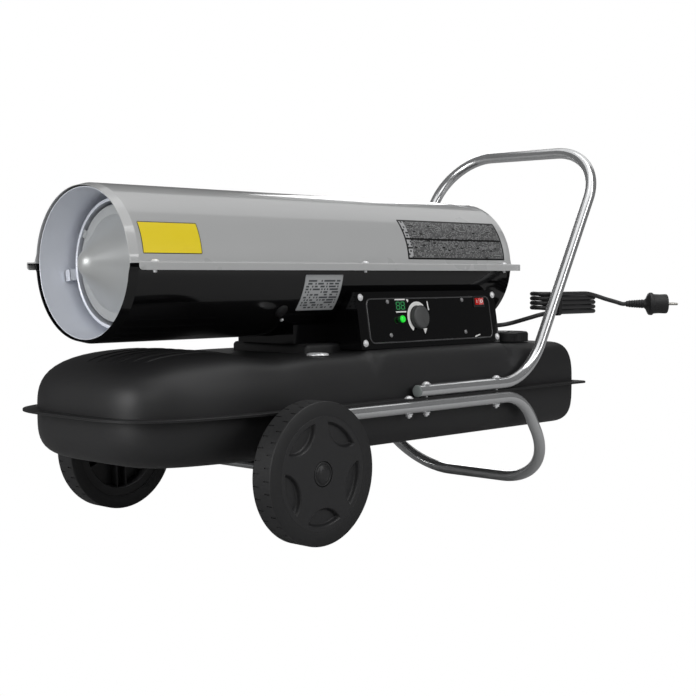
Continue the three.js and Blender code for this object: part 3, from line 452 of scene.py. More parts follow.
def upper_height(x, y):
    """Height above the rim: a crest on the nose, and the seat of the control box on the near side."""
    seat = SEAT_UP * on_seat(x) if y < 0 else 0
    return CREST - SEAM_TOP + (DECK - CREST) * smooth(x, *CREST_FALL) + seat


def lower_height(x, y):
    return SEAM_BOTTOM - UNDERSIDE


# Powder coat: a fine orange peel spreads every highlight, so the tank reads as charcoal.
powder_black = finish("satin black powder coat", "#1d1d1e", "#212122", 0.5, patch=90, grain=1.6, relief=0.05,
                      spread=0.04)
upper_reach = {"front_reach": 174, "side_reach": 103, "mid_reach": 42, "rear_reach": 26, "power": 3.05}
lower_reach = {"front_reach": 115.3, "side_reach": 88.4, "mid_reach": 60, "rear_reach": 34, "power": 3.86}
for name, node, rim, edge, height, reach in (
        ("tank_top_half", "tank_upper", SEAM_TOP, 1, upper_height, upper_reach),
        ("tank_bottom_half", "tank_lower", SEAM_BOTTOM, -1, lower_height, lower_reach)):
    outside = tank_half(rim, edge, height, inset=0, **reach)
    inside = tank_half(rim - edge * SHEET, edge, height, inset=SHEET, **reach)
    rim_rings = [rim_ring(rim, 0.4), rim_ring(rim - edge * 0.4), rim_ring(rim - edge * SHEET)]
    piece = shown(name, lofted(outside[::-1] + rim_rings + inside), powder_black, 40)
    fit(piece, "base", "satin_black", node)


def rounded_outline(u0, u1, v0, v1, radius, steps, inward=0.0):
    """Points round a rectangle with round corners. Inward makes the corners smaller about their centres."""
    points = []
    for u, v, start in ((u1 - radius, v1 - radius, 0), (u0 + radius, v1 - radius, 90),
                        (u0 + radius, v0 + radius, 180), (u1 - radius, v0 + radius, 270)):
        for k in range(steps + 1):
            angle = math.radians(start + 90 * k / steps)
            points.append((u + (radius - inward) * math.cos(angle), v + (radius - inward) * math.sin(angle)))
    return points


def rounded_block(x0, x1, y0, y1, z0, z1, radius, steps=5):
    """A block with its upright edges and its top edge rounded."""
    levels = [(z0, 0.0)] + [(z1 - radius + radius * math.sin(math.pi / 2 * k / steps),
                             radius * (1 - math.cos(math.pi / 2 * k / steps))) for k in range(steps + 1)]
    vertices = [(x, y, z) for z, inward in levels
                for x, y in rounded_outline(x0, x1, y0, y1, radius, steps, inward)]
    return vertices, skin(len(levels), 4 * (steps + 1))


bed = shown("tank_bed", rounded_block(-146, 300, -85, 85, 245, 267, 6), powder_black, 40)
fit(bed, "base", "satin_black")


def swept(points, radius, sides, caps=True):
    """A round rod along points, with its ends closed."""
    vertices = []
    side = None
    for i, point in enumerate(points):
        ahead = (points[min(i + 1, len(points) - 1)] - points[max(i - 1, 0)]).normalized()
        side = ahead.orthogonal() if side is None else side
        side = (side - ahead * side.dot(ahead)).normalized()
        up = ahead.cross(side)
        for k in range(sides):
            angle = 2 * math.pi * k / sides
            vertices.append(point + (side * math.cos(angle) + up * math.sin(angle)) * radius)
    faces = skin(len(points), sides, ends=False)
    if caps:
        faces += [list(range(sides))[::-1], [(len(points) - 1) * sides + k for k in range(sides)]]
    return vertices, faces


# Beads pressed along the nose stiffen it. Each follows the skin and sinks into it at both ends.
BEADS = [(-452, -78), (-458, -56), (-463, -34), (-466, -12), (-468, 10), (-468, 32)]
BEAD_END, BEAD_RADIUS, BEAD_STEPS, BEAD_SUNK = -262, 3.0, 40, 1.7
top_skin = lofted(tank_half(SEAM_TOP, 1, upper_height, inset=0, **upper_reach))
top_tree = BVHTree.FromPolygons([tuple(v) for v in top_skin[0]], top_skin[1])
bead_shapes = []
for start, y in BEADS:
    line = []
    for k in range(BEAD_STEPS + 1):
        x = start + (BEAD_END - start) * k / BEAD_STEPS
        hit = top_tree.ray_cast(Vector((x, y, 400)), Vector((0, 0, -1)))[0]
        sunk = BEAD_SUNK + 2.0 * (1 - smooth(min(k, BEAD_STEPS - k), 0, 2.5))
        line.append(hit - Vector((0, 0, sunk)))
    bead_shapes.append(swept(line, BEAD_RADIUS, 12))
fit(shown("tank_beads", joined(*bead_shapes), powder_black, 50), "base", "satin_black")


# ---- Casing ------------------------------------------------------------------------------------------------
# Two rolled sheet-steel half shells with bolted flanges: the upper in gloss grey enamel with a hemmed front
# edge and a turned-down lip, the lower in gloss black.

AXIS = 388.2
FRONT, REAR, RADIUS, FLANGE, LIP = -495, 331, 110, 20, 9.2
TOP_FACE, LOW_FACE = AXIS + SEAM_GAP + SHEET, AXIS - SEAM_GAP - SHEET
SEAM_TILT, ROOT_TILT = math.degrees(math.asin((SEAM_GAP + SHEET) / RADIUS)), 2.4
EDGE_Y, EDGE_ROUND = RADIUS + FLANGE, 1.2
ON_AXIS = Matrix.Translation((0, 0, AXIS))


def arc(radius, start, end, steps):
    """Points in (y, z) about the casing's axis; angles run from +Y towards +Z, in degrees."""
    return [(radius * math.cos(math.radians(start + (end - start) * k / steps)),
             AXIS + radius * math.sin(math.radians(start + (end - start) * k / steps)))
            for k in range(steps + 1)]


def extruded(outline, stations):
    """A closed outline in (y, z) carried along X. A station is (x, function that moves a point)."""
    vertices = [(x, *push(y, z)) for x, push in stations for y, z in outline]
    return vertices, skin(len(stations), len(outline))


def root(side):
    """The small inside bend where the upper shell turns out into its flange, from the flange inwards."""
    wall, foot = Vector(arc(RADIUS, ROOT_TILT, 0, 1)[0]), Vector((RADIUS + 4, TOP_FACE))
    corner = Vector((RADIUS, TOP_FACE))
    bend = []
    for k in range(5):
        t = k / 5
        y, z = foot * (1 - t) ** 2 + corner * 2 * t * (1 - t) + wall * t ** 2
        bend.append((side * y, z))
    return bend


upper_outline = [
    (-EDGE_Y, AXIS - LIP), (-EDGE_Y, TOP_FACE - EDGE_ROUND), (EDGE_ROUND - EDGE_Y, TOP_FACE), *root(-1),
    *arc(RADIUS, 180 - ROOT_TILT, ROOT_TILT, 96), *root(1)[::-1],
    (EDGE_Y - EDGE_ROUND, TOP_FACE), (EDGE_Y, TOP_FACE - EDGE_ROUND), (EDGE_Y, AXIS - LIP),
    (EDGE_Y - SHEET, AXIS - LIP), (EDGE_Y - SHEET, AXIS + SEAM_GAP),
    *arc(RADIUS - SHEET, 0.1, 179.9, 96), (SHEET - EDGE_Y, AXIS + SEAM_GAP), (SHEET - EDGE_Y, AXIS - LIP)]
lower_edge = EDGE_Y - SHEET - 0.5
lower_outline = [
    (-lower_edge, AXIS - SEAM_GAP), *arc(RADIUS - SHEET, 180.1, 359.9, 96), (lower_edge, AXIS - SEAM_GAP),
    (lower_edge, LOW_FACE), *arc(RADIUS, 360 - SEAM_TILT, 180 + SEAM_TILT, 96), (-lower_edge, LOW_FACE)]


FACE_REACH, SEAM_FADE = 0.4, (3, 14)


def drawn_in(outer, inner):
    """Draws the shell's two faces in towards the axis, each by its own amount. The flange stays."""
    def draw(y, z):
        radius = math.hypot(y, z - AXIS)
        if abs(radius - RADIUS) < FACE_REACH:
            amount = outer
        elif abs(radius - RADIUS + SHEET) < FACE_REACH:
            amount = inner
        else:
            return y, z
        part = 1 - amount * smooth(abs(z - AXIS), *SEAM_FADE) / radius
        return y * part, AXIS + (z - AXIS) * part
    return draw


def applied(piece):
    """The piece's mesh with its modifiers carried out, which are then removed."""
    graph = bpy.context.evaluated_depsgraph_get()
    mesh = bpy.data.meshes.new_from_object(piece.evaluated_get(graph))
    mesh.name = piece.name
    piece.modifiers.clear()
    return mesh


def cut(piece, shape):
    """Takes a shape away from a piece."""
    tool = shown("tool", shape, piece.data.materials[0])
    knife = piece.modifiers.new("cut", "BOOLEAN")
    knife.operation, knife.solver, knife.object = "DIFFERENCE", "EXACT", tool
    piece.data = applied(piece)
    bpy.data.objects.remove(tool)


def prism(outline, y0, y1):
    """A closed outline in (x, z), pushed along Y."""
    return [(x, y, z) for y in (y0, y1) for x, z in outline], skin(2, len(outline))


# Gloss grey enamel: mid grey, with the soft boxes in it as broad clean bands.
grey_enamel = finish("gloss grey enamel on steel", "#b9baba", "#bdbebe", 0.28, coat=0.8, patch=140, grain=2.2,
                     relief=0.006, spread=0.03)
# Gloss black enamel: almost no colour of its own, only sharp reflections.
black_enamel = finish("gloss black enamel on steel", "#060607", "#080809", 0.1, patch=140, grain=2.2,
                      relief=0.005, spread=0.02)
# Both shells are rolled in over the front 13.5 mm and, a little, over the rear 10 mm. A row gives x and how
# far the outer and the inner face move.
HEM = [(FRONT, 3.4, 2.2), (FRONT + 0.5, 3.0, 2.2), (FRONT + 13.5, 0, 0), (REAR - 10, 0, 0),
       (REAR - 0.4, 0.8, 0), (REAR, 1.0, 0)]
hem = [(x, drawn_in(outer, inner)) for x, outer, inner in HEM]
ROLLED_CREASE = 4
upper = shown("casing_top", extruded(upper_outline, hem), grey_enamel, ROLLED_CREASE)
# The lip's front corner is cut round.
CORNER = 5
curve = [(FRONT + CORNER * (1 - math.cos(math.radians(a))), CORNER - LIP - CORNER * math.sin(math.radians(a)))
         for a in range(0, 91, 15)]
waste = [(FRONT - 3, CORNER - LIP)] + curve + [(FRONT + CORNER, -LIP - 3), (FRONT - 3, -LIP - 3)]
for _, side in SIDES:
    low, high = sorted((side * (EDGE_Y - SHEET - 0.2), side * (EDGE_Y + 1)))
    cut(upper, moved(prism(waste, low, high), ON_AXIS))
fit(upper, "base", "grey_paint", "upper_shell")
lower = shown("casing_bottom", extruded(lower_outline, hem), black_enamel, ROLLED_CREASE)
fit(lower, "base", "black_paint", "lower_shell")

# Zinc plate: pale and bright, so that each small head shows as a light dot.
zinc = finish("zinc-plated steel", "#f0f1f2", "#f6f6f7", 0.3, 0.35, patch=12, grain=0.8, relief=0.02)
SEAM_SCREWS, SCREW_Y = (-463, -55, 297), 120.5
screw_profile = [(-12.5, 0), (-12.5, 2.2), (-11, 2.6), (1.75, 2.6), (1.75, 5.2), (2.3, 5.6), (3.2, 5.2),
                 (4.6, 3.6), (5.2, 1.6), (5.2, 0)]
seam_screws = [moved(turned(screw_profile, "z", 20), Matrix.Translation((x, side * SCREW_Y, AXIS)))
               for _, side in SIDES for x in SEAM_SCREWS]
fit(shown("seam_screws", joined(*seam_screws), zinc, 30), "base", "zinc")


# ---- Decals, plates and panels on the casing ---------------------------------------------------------------
# A heat-proof vinyl decal by the outlet, an anodised information panel at the rear, and a small aluminium
# rating plate below the seam. They lie on the curved paint, and their print is plain or meaningless dashes.

def inked(material, colour, *masks):
    """Mixes another colour into a finish where every mask is 1."""
    tree = material.node_tree
    mask = masks[0]
    for other in masks[1:]:
        mask = add(tree, "ShaderNodeMath", {"operation": "MULTIPLY"}, {0: mask, 1: other}).outputs[0]
    target = tree.nodes["Principled BSDF"].inputs["Base Color"]
    mixed = add(tree, "ShaderNodeMix", {"data_type": "RGBA", 7: srgb(colour)},
                {0: mask, 6: target.links[0].from_socket})
    tree.links.new(mixed.outputs[2], target)


def sheet_place(tree):
    """Sockets for the way along the casing and the way round it from the near seam, in metres."""
    place = add(tree, "ShaderNodeTexCoord")
    parts = add(tree, "ShaderNodeSeparateXYZ", links={0: place.outputs["Object"]})
    rise = add(tree, "ShaderNodeMath", {"operation": "SUBTRACT", 1: AXIS * MM}, {0: parts.outputs[2]})
    out = add(tree, "ShaderNodeMath", {"operation": "MULTIPLY", 1: -1.0}, {0: parts.outputs[1]})
    turn = add(tree, "ShaderNodeMath", {"operation": "ARCTAN2"}, {0: rise.outputs[0], 1: out.outputs[0]})
    round_it = add(tree, "ShaderNodeMath", {"operation": "MULTIPLY", 1: RADIUS * MM}, {0: turn.outputs[0]})
    return parts.outputs[0], round_it.outputs[0]


def stripe(tree, value, low, high):
    """A mask that is 1 where a value, in metres, is between two limits in mm."""
    middle, half = (low + high) / 2 * MM, (high - low) / 2 * MM
    return add(tree, "ShaderNodeMath", {"operation": "COMPARE", 1: middle, 2: half}, {0: value}).outputs[0]


DASH_HEIGHT, PLATE_LIFT = 0.62, 0.03


def dashes(tree, along, across, cell, row, share):
    """Rows of short dashes, like lines of print too small to read: cell is a dash's length, row the pitch."""
    step = add(tree, "ShaderNodeMath", {"operation": "DIVIDE", 1: cell * MM}, {0: along})
    column = add(tree, "ShaderNodeMath", {"operation": "FLOOR"}, {0: step.outputs[0]})
    line = add(tree, "ShaderNodeMath", {"operation": "DIVIDE", 1: row * MM}, {0: across})
    number = add(tree, "ShaderNodeMath", {"operation": "FLOOR"}, {0: line.outputs[0]})
    part = add(tree, "ShaderNodeMath", {"operation": "FRACT"}, {0: line.outputs[0]})
    lower = add(tree, "ShaderNodeMath", {"operation": "LESS_THAN", 1: DASH_HEIGHT}, {0: part.outputs[0]})
    cells = add(tree, "ShaderNodeCombineXYZ", links={0: column.outputs[0], 1: number.outputs[0]})
    chance = add(tree, "ShaderNodeTexWhiteNoise", {"noise_dimensions": "3D"}, {0: cells.outputs[0]})
    picked = add(tree, "ShaderNodeMath", {"operation": "LESS_THAN", 1: share}, {0: chance.outputs[0]})
    return add(tree, "ShaderNodeMath", {"operation": "MULTIPLY"},
               {0: lower.outputs[0], 1: picked.outputs[0]}).outputs[0]


def curved_plate(x0, x1, low, high, corner, thick):
    """A thin plate on the near side of the casing, between two angles from the seam, with round corners."""
    height = math.radians(high - low) * RADIUS
    levels = [corner * (1 - math.cos(math.radians(a))) for a in range(0, 91, 15)]
    levels += [corner + (height - 2 * corner) * k / 20 for k in range(1, 20)]
    levels += [height - level for level in levels[6::-1]]
    vertices, faces = [], []
    for radius in (RADIUS + thick, RADIUS + PLATE_LIFT):
        for level in levels:
            edge = min(level, height - level)
            inward = corner - math.sqrt(max(corner ** 2 - max(corner - edge, 0) ** 2, 0))
            angle = math.radians(low) + level / RADIUS
            for x in (x0 + inward, x1 - inward):
                vertices.append((x, -radius * math.cos(angle), AXIS + radius * math.sin(angle)))
    rows = len(levels)
    for k in range(rows - 1):
        a, b = 2 * k, 2 * (rows + k)
        faces += [(a, a + 1, a + 3, a + 2), (b, b + 2, b + 3, b + 1), (a, a + 2, b + 2, b),
                  (a + 1, b + 1, b + 3, a + 3)]
    last = 2 * (rows - 1)
    faces += [(0, 2 * rows, 2 * rows + 1, 1), (last, last + 1, 2 * rows + last + 1, 2 * rows + last)]
    return vertices, faces


def printed_plate(name, x0, x1, low, high, border, material, ink, corner, thick):
    """A plate with a printed border that follows its edge."""
    tree = material.node_tree
    along, round_it = sheet_place(tree)
    s0, s1 = math.radians(low) * RADIUS, math.radians(high) * RADIUS
    middle = add(tree, "ShaderNodeMath", {"operation": "MULTIPLY"},
                 {0: stripe(tree, along, x0 + border, x1 - border),
                  1: stripe(tree, round_it, s0 + border, s1 - border)})
    edge = add(tree, "ShaderNodeMath", {"operation": "SUBTRACT", 0: 1.0}, {1: middle.outputs[0]})
    inked(material, ink, edge.outputs[0])
    fit(shown(name, curved_plate(x0, x1, low, high, corner, thick), material, 30), "base", "aluminised")


# Vinyl: flat clear yellow with a weak gloss.
vinyl = finish("yellow heat-proof vinyl", "#fde000", "#fee50c", 0.35, coat=0.3, patch=30, grain=0.8,
               relief=0.01)
printed_plate("outlet_decal", -474, -372, 6.5, 30, 1.1, vinyl, "#23221c", 2, 0.3)

# Anodised sheet: dull grey under dark print, with a pale strip at its front edge and a line across it.
INFO = {"x0": 58, "x1": 312, "low": 4.6, "high": 41.2}
info_sheet = finish("printed grey anodised sheet", "#7e7f7f", "#888989", 0.4, 0.1, patch=20, grain=0.8,
                    relief=0.02)
tree = info_sheet.node_tree
along, round_it = sheet_place(tree)
inked(info_sheet, "#2e2e2f", dashes(tree, along, round_it, 2.3, 2.1, 0.62))
inked(info_sheet, "#161617", dashes(tree, along, round_it, 7.0, 3.9, 0.05))
strip = stripe(tree, along, INFO["x0"], INFO["x0"] + 13)
inked(info_sheet, "#b9babb", strip)
inked(info_sheet, "#38393a", strip, dashes(tree, along, round_it, 4.0, 5.2, 0.4))
inked(info_sheet, "#0a0a0b", stripe(tree, round_it, 41.2, 44.2))
printed_plate("information_panel", **INFO, border=3.0, material=info_sheet, ink="#060607", corner=1.2,
              thick=0.4)

# Brushed aluminium: pale, with faint streaks along the plate.
plate_sheet = finish("brushed aluminium plate", "#bcbebf", "#c8cacb", 0.36, 0.4, patch=16, grain=0.7,
                     relief=0.02, stretch=(0.15, 1, 1))
tree = plate_sheet.node_tree
along, round_it = sheet_place(tree)
inked(plate_sheet, "#55585a", stripe(tree, along, -168, -97), stripe(tree, round_it, -72, -22),
      dashes(tree, along, round_it, 3.0, 4.4, 0.55))
printed_plate("rating_plate", -173, -92, -39, -8, 0.8, plate_sheet, "#7d8082", 3, 0.5)

OUTWARD = Matrix.Rotation(math.radians(-90), 4, "Z")


def on_lower_shell(shape, x, tilt):
    """Stands a shape turned about X on the near side of the lower shell, pointing straight out of it."""
    spot = Matrix.Translation((x, 0, AXIS)) @ Matrix.Rotation(math.radians(tilt), 4, "X")
    return moved(shape, spot @ Matrix.Translation((0, -RADIUS, 0)) @ OUTWARD)


# A blanking plug in the lower shell, and the screw beside it that holds the chamber's foot.
plug_cap = turned([(0, 0), (0, 11), (0.8, 11), (1.6, 10.2), (2.2, 8.2), (2.6, 0)], "x", 32)
fit(shown("blanking_plug", on_lower_shell(plug_cap, -200, 39), nylon, 30), "base", "black_plastic")
small_screw = turned([(0, 0), (0, 3), (0.9, 2.9), (1.7, 2.0), (2, 0)], "x", 20)
fit(shown("chamber_screw", on_lower_shell(small_screw, -187, 49), zinc, 30), "base", "zinc")


# ---- Outlet: liner, combustion chamber and flame deflector ------------------------------------------------
# Aluminised steel sheet: a plain liner inside the casing, the chamber's open front on three welded tabs,
# and a spun cone on a dished plate that turns the flame. The heat leaves it dull and faintly blue.

# Aluminised steel: a pale bluish satin that takes light evenly round the liner.
aluminised = finish("aluminised steel", "#e2e6ef", "#ebeef5", 0.32, 0.12, patch=70, grain=1.4, relief=0.008)
# Heat-dulled steel: grey, with one soft bright patch on the cone's flank.
spun_steel = finish("heat-dulled spun steel", "#b9bbbb", "#c1c3c2", 0.36, 0.4, patch=60, grain=0.9,
                    relief=0.006, spread=0.04)
liner_profile = [(-491, 103.3), (-491.4, 103.9), (-491, 104.5), (-96, 104.5), (-96, 103.3), (-491, 103.3)]
liner = shown("hot_air_liner", moved(turned(liner_profile, "x", 128), ON_AXIS), aluminised, 30)
fit(liner, "base", "aluminised", "outlet_liner")

chamber_profile = [(-438.8, 87.4), (-439.6, 89.4), (-438.6, 92), (-435, 92), (-433.6, 90), (-40, 90),
                   (-40, 36.6), (-42, 36.6), (-42, 88), (-433, 88), (-438.8, 87.4)]
tab = joined(block(-450, -409, 90, 91.2, -8, 8), block(-450, -449, 90, 102.4, -8, 8),
             block(-450, -425, 101.4, 102.4, -8, 8))
tabs = [moved(tab, Matrix.Rotation(math.radians(angle), 4, "X")) for angle in (-10, 110, 230)]
chamber = moved(joined(turned(chamber_profile, "x", 128), *tabs), ON_AXIS)
fit(shown("burner_chamber", chamber, aluminised, 30), "base", "hot_steel", "combustion_chamber")

deflector_profile = [
    (-495.4, 0), (-495.2, 3), (-494.5, 6.2), (-493.1, 9.8), (-490.8, 13.6), (-487.4, 17.6), (-480, 24.8),
    (-444, 58.7), (-441.8, 62.1), (-439.6, 64.9), (-437, 67.2), (-436, 68.8), (-436, 80.5), (-435.6, 82),
    (-434.5, 82), (-434.5, 68.3), (-436, 66), (-442.9, 58), (-479, 23.9), (-486, 17), (-491.6, 9),
    (-493.8, 2.8), (-494, 0)]
feet = [moved(block(-436, -434.5, 80, 87.1, -6, 6), Matrix.Rotation(math.radians(angle), 4, "X"))
        for angle in (30, 150, 270)]
deflector = moved(joined(turned(deflector_profile, "x", 128), *feet), ON_AXIS)
fit(shown("flame_cone", deflector, spun_steel, 30), "base", "hot_steel", "flame_deflector")


# ---- Burner head and nozzle -------------------------------------------------------------------------------
# A flanged steel tube on the chamber's rear wall holds a drilled disc with a brass nozzle, a spark electrode
# in glazed ceramic and a light cell that watches the flame. The heat has left the steel dull.

def painted(material, *names):
    """Gives carried-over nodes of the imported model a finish."""
    for name in names:
        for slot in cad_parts[name].material_slots:
            slot.material = material


painted(spun_steel, "burner_head", "nozzle_holder")
# Brass: warm yellow metal with small sharp lights.
turned_brass = finish("turned brass", "#b08f4f", "#b99858", 0.3, 1.0, patch=8, grain=0.5, relief=0.01)
painted(turned_brass, "fuel_nozzle", "suction_filter")
# Glaze: warm white with a wet shine.
glazed_ceramic = finish("glazed white ceramic", "#e4e0d6", "#ece9e1", 0.25, coat=0.6, patch=12, grain=0.8,
                        relief=0.01)
painted(glazed_ceramic, "spark_electrode")
# Dark glass: nearly black, with one sharp light.
sensor_glass = finish("dark sensor glass", "#1b1418", "#24191e", 0.15, patch=6, grain=0.6, relief=0.005)
painted(sensor_glass, "flame_sensor")


# ---- Fan, motor and inlet guard ---------------------------------------------------------------------------
# Five cambered aluminium blades riveted to a hub drive air past the motor, which a ring and three arms hold
# in the casing. The guard is stamped from sheet and painted black with the lower shell.

def ring_tree():
    """A node tree that repeats the piece's own mesh in a ring, about an axis through a centre."""
    tree = bpy.data.node_groups.new("ring_of_copies", "GeometryNodeTree")
    sockets = [("Geometry", "Geometry"), ("Count", "Int"), ("Centre", "Vector"), ("Axis", "Vector"),
               ("Material", "Material")]
    for socket, kind in sockets:
        tree.interface.new_socket(socket, in_out="INPUT", socket_type="NodeSocket" + kind)
    tree.interface.new_socket("Geometry", in_out="OUTPUT", socket_type="NodeSocketGeometry")
    given = add(tree, "NodeGroupInput")
    line = add(tree, "GeometryNodeMeshLine", {"Offset": (0, 0, 0)},
               {"Count": given.outputs["Count"], "Start Location": given.outputs["Centre"]})
    index = add(tree, "GeometryNodeInputIndex")
    part = add(tree, "ShaderNodeMath", {"operation": "DIVIDE", 0: 2 * math.pi}, {1: given.outputs["Count"]})
    angle = add(tree, "ShaderNodeMath", {"operation": "MULTIPLY"}, {0: index.outputs[0], 1: part.outputs[0]})
    turn = add(tree, "FunctionNodeAxisAngleToRotation",
               links={"Axis": given.outputs["Axis"], "Angle": angle.outputs[0]})
    put = add(tree, "GeometryNodeInstanceOnPoints",
              links={"Points": line.outputs[0], "Instance": given.outputs["Geometry"],
                     "Rotation": turn.outputs[0]})
    real = add(tree, "GeometryNodeRealizeInstances", links={"Geometry": put.outputs[0]})
    coated = add(tree, "GeometryNodeSetMaterial",
                 links={"Geometry": real.outputs[0], "Material": given.outputs["Material"]})
    done = add(tree, "NodeGroupOutput")
    tree.links.new(coated.outputs[0], done.inputs["Geometry"])
    return tree


RING = ring_tree()


def repeated(name, shape, material, count, centre, axis):
    """Copies of a shape in a ring about an axis through a centre, which the node tree makes."""
    piece = shown(name, shape, material)
    grow = piece.modifiers.new("copies", "NODES")
    grow.node_group = RING
    values = {"Count": count, "Centre": Vector(centre) * MM, "Axis": Vector(axis), "Material": material}
    for socket in RING.interface.items_tree:
        if socket.in_out == "INPUT" and socket.name in values:
            grow[socket.identifier] = values[socket.name]
    piece.data = applied(piece)
    return piece


def merged(piece, *others):
    """One piece out of several that have no modifiers left."""
    work = bmesh.new()
    for part in (piece, *others):
        work.from_mesh(part.data)
    work.to_mesh(piece.data)
    work.free()
    for other in others:
        bpy.data.objects.remove(other)
    return piece


FAN_X, BLADES, CHORD_STEPS, HALF_BLADE = 130, 5, 12, 0.8
MID_RADIUS, MID_PITCH, TWIST, CAMBER, CAMBER_CHORD = 60, 35, 8, 4.0, 30
BLADE_WIDTHS = [(16, 12), (24, 17), (34, 22), (46, 27), (60, 30), (72, 31), (82, 30.5), (88, 28.5),
                (91.5, 25), (93, 20)]


def blade_shape():
    """One cambered blade, standing up from the hub at the origin. Its pitch falls towards the tip."""
    vertices, faces = [], []
    for radius, half in BLADE_WIDTHS:
        pitch = math.radians(MID_PITCH + TWIST * (MID_RADIUS - radius) / MID_RADIUS)
        for face in (-HALF_BLADE, HALF_BLADE):
            for k in range(CHORD_STEPS + 1):
                part = 2 * k / CHORD_STEPS - 1
                chord, camber = half * part, CAMBER * (1 - part ** 2) * half / CAMBER_CHORD
                x = chord * math.cos(pitch) - (camber + face) * math.sin(pitch)
                y = chord * math.sin(pitch) + (camber + face) * math.cos(pitch)
                vertices.append((x, y, radius))
    row = CHORD_STEPS + 1
    ring = 2 * row
    order = list(range(row)) + list(range(ring - 1, CHORD_STEPS, -1))
    for r in range(len(BLADE_WIDTHS) - 1):
        for i in range(ring):
            a, b = order[i], order[(i + 1) % ring]
            faces.append((r * ring + a, r * ring + b, (r + 1) * ring + b, (r + 1) * ring + a))
    for base in (0, (len(BLADE_WIDTHS) - 1) * ring):
        faces += [(base + k, base + k + 1, base + row + k + 1, base + row + k) for k in range(CHORD_STEPS)]
    return vertices, faces


# Pressed aluminium: satin metal, lighter than the black parts round it.
pressed_aluminium = finish("pressed aluminium", "#b4b6b8", "#c0c2c4", 0.34, 0.9, patch=40, grain=1.0)
blades = repeated("fan_wheel", blade_shape(), pressed_aluminium, BLADES, (FAN_X, 0, AXIS), (1, 0, 0))
hub_profile = [(-12, 4.3), (-12, 14), (-10, 16), (-8, 20), (8, 20), (10, 16), (12, 14), (12, 4.3), (-12, 4.3)]
hub = moved(turned(hub_profile, "x", 48), Matrix.Translation((FAN_X, 0, AXIS)))
fit(merged(blades, shown("fan_hub", hub, pressed_aluminium)), "fan", "aluminised", "fan_impeller")
painted(pressed_aluminium, "air_pump")

# Ground steel: a bright, slightly blurred mirror.
ground_steel = finish("ground steel", "#b9bbbd", "#c5c7c8", 0.22, 1.0, patch=12, grain=0.5, relief=0.01)
painted(ground_steel, "fan_shaft", "axle")
painted(zinc, "motor_bracket")
# Hammered paint: dimples break each highlight into spots.
motor_paint = finish("grey hammered motor paint", "#4a4d50", "#53565a", 0.38, coat=0.2, patch=6, grain=3.0,
                     relief=0.12)
motor_profile = [(176, 0), (176, 4.4), (165, 4.4), (160.4, 9), (160.4, 34), (162, 38), (166, 41.4),
                 (172, 41.4)]
for k in range(9):
    motor_profile += [(173 + 9.6 * k, 41.4), (173.6 + 9.6 * k, 39.4), (176.4 + 9.6 * k, 39.4),
                      (177 + 9.6 * k, 41.4)]
motor_profile += [(258, 41.4), (264, 41.4), (269.6, 36), (269.6, 0)]
motor = shown("motor_case", moved(turned(motor_profile, "x", 64), ON_AXIS), motor_paint, 30)
fit(motor, "base", "motor_paint", "fan_motor")
painted(black_enamel, "rear_guard")
# Nitrile rubber: matt black.
hose_rubber = finish("black nitrile hose", "#1a1a1b", "#202021", 0.5, patch=20, grain=0.7, relief=0.03)
painted(hose_rubber, "air_hose", "fuel_line")


# ---- Filler, gauge and saddle ------------------------------------------------------------------------------
# The moulded filler cap closes a strainer basket and is gripped by its ribs. The gauge is a dial under a
# clear dome in a plated rim, and the saddle is a folded steel tray between the tank's bed and the casing.

FILLER, GAUGE = Matrix.Translation((353, -85, 0)), Matrix.Translation((-160, -121, 0))
# Polyethylene: black with a soft, waxy sheen.
cap_plastic = finish("black ribbed polyethylene", "#1c1c1d", "#222223", 0.42, patch=20, grain=0.9,
                     relief=0.04)
cap_shape = [(255, 0), (255, 37.2), (255.6, 37.7), (269.4, 37.5), (271.2, 36.4), (272, 34.6), (272, 31),
             (270.5, 29.5), (270.5, 0)]
lid = shown("filler_lid", moved(turned(cap_shape, "z", 72), FILLER), cap_plastic, 30)
grip = repeated("grip_ribs", block(36, 38, -1.1, 1.1, 255.6, 269), cap_plastic, 48, FILLER.translation,
                (0, 0, 1))
bar = moved(rounded_block(-28, 28, -4, 4, 268, 272.4, 2), FILLER @ Matrix.Rotation(0.5, 4, "Z"))
fit(merged(lid, grip, shown("grip_bar", bar, cap_plastic, 30)), "cap", "black_plastic", "filler_cap")
# Nylon mesh: flat grey. Its weave is drawn several times coarser than the real one so that it shows.
strainer_mesh = finish("grey nylon mesh", "#6a6c6e", "#737577", 0.6, patch=4, grain=1.2, relief=0.2)
painted(strainer_mesh, "filler_strainer")

gauge_shape = [(150, 0), (150, 6), (253.3, 6), (253.3, 16.5), (254.4, 16.5), (256, 15.6), (256.4, 14.4),
               (256.9, 10), (257.2, 5), (257.3, 0)]
gauge = shown("gauge_head", moved(turned(gauge_shape, "z", 48), GAUGE), zinc, 50)
fit(gauge, "base", "zinc", "fuel_gauge")
painted(black_enamel, "saddle")


# ---- Control box and panel --------------------------------------------------------------------------------
# The box is folded from sheet and enamelled black. Its panel leans back, screwed on at the corners, and
# carries the display, a lamp, the thermostat knob with its printed scale, and the mains switch.

LEAN, PRESSED, INK, EDGE_BEAD = 0.16883, 0.7, 0.2, 1.3
PANEL = Matrix.Translation((94.5, -127.5, 302)) @ Matrix.Rotation(-LEAN, 4, "X")
CORNER_SCREWS = ((-162.6, 36.3), (-162.5, -34.8), (167.5, 36.4), (167, -35.1))
FACE_SCREWS = ((-103, 28.6), (-103.4, -24.3), (82.2, 29), (82.2, -24.5))
KNOB_AT, DISPLAY_AT, LAMP_AT, ROCKER_AT = (-33.5, 2), (-73, 22), (-77.4, 0), (126.5, 25.5)
painted(black_enamel, "control_box", "control_panel")
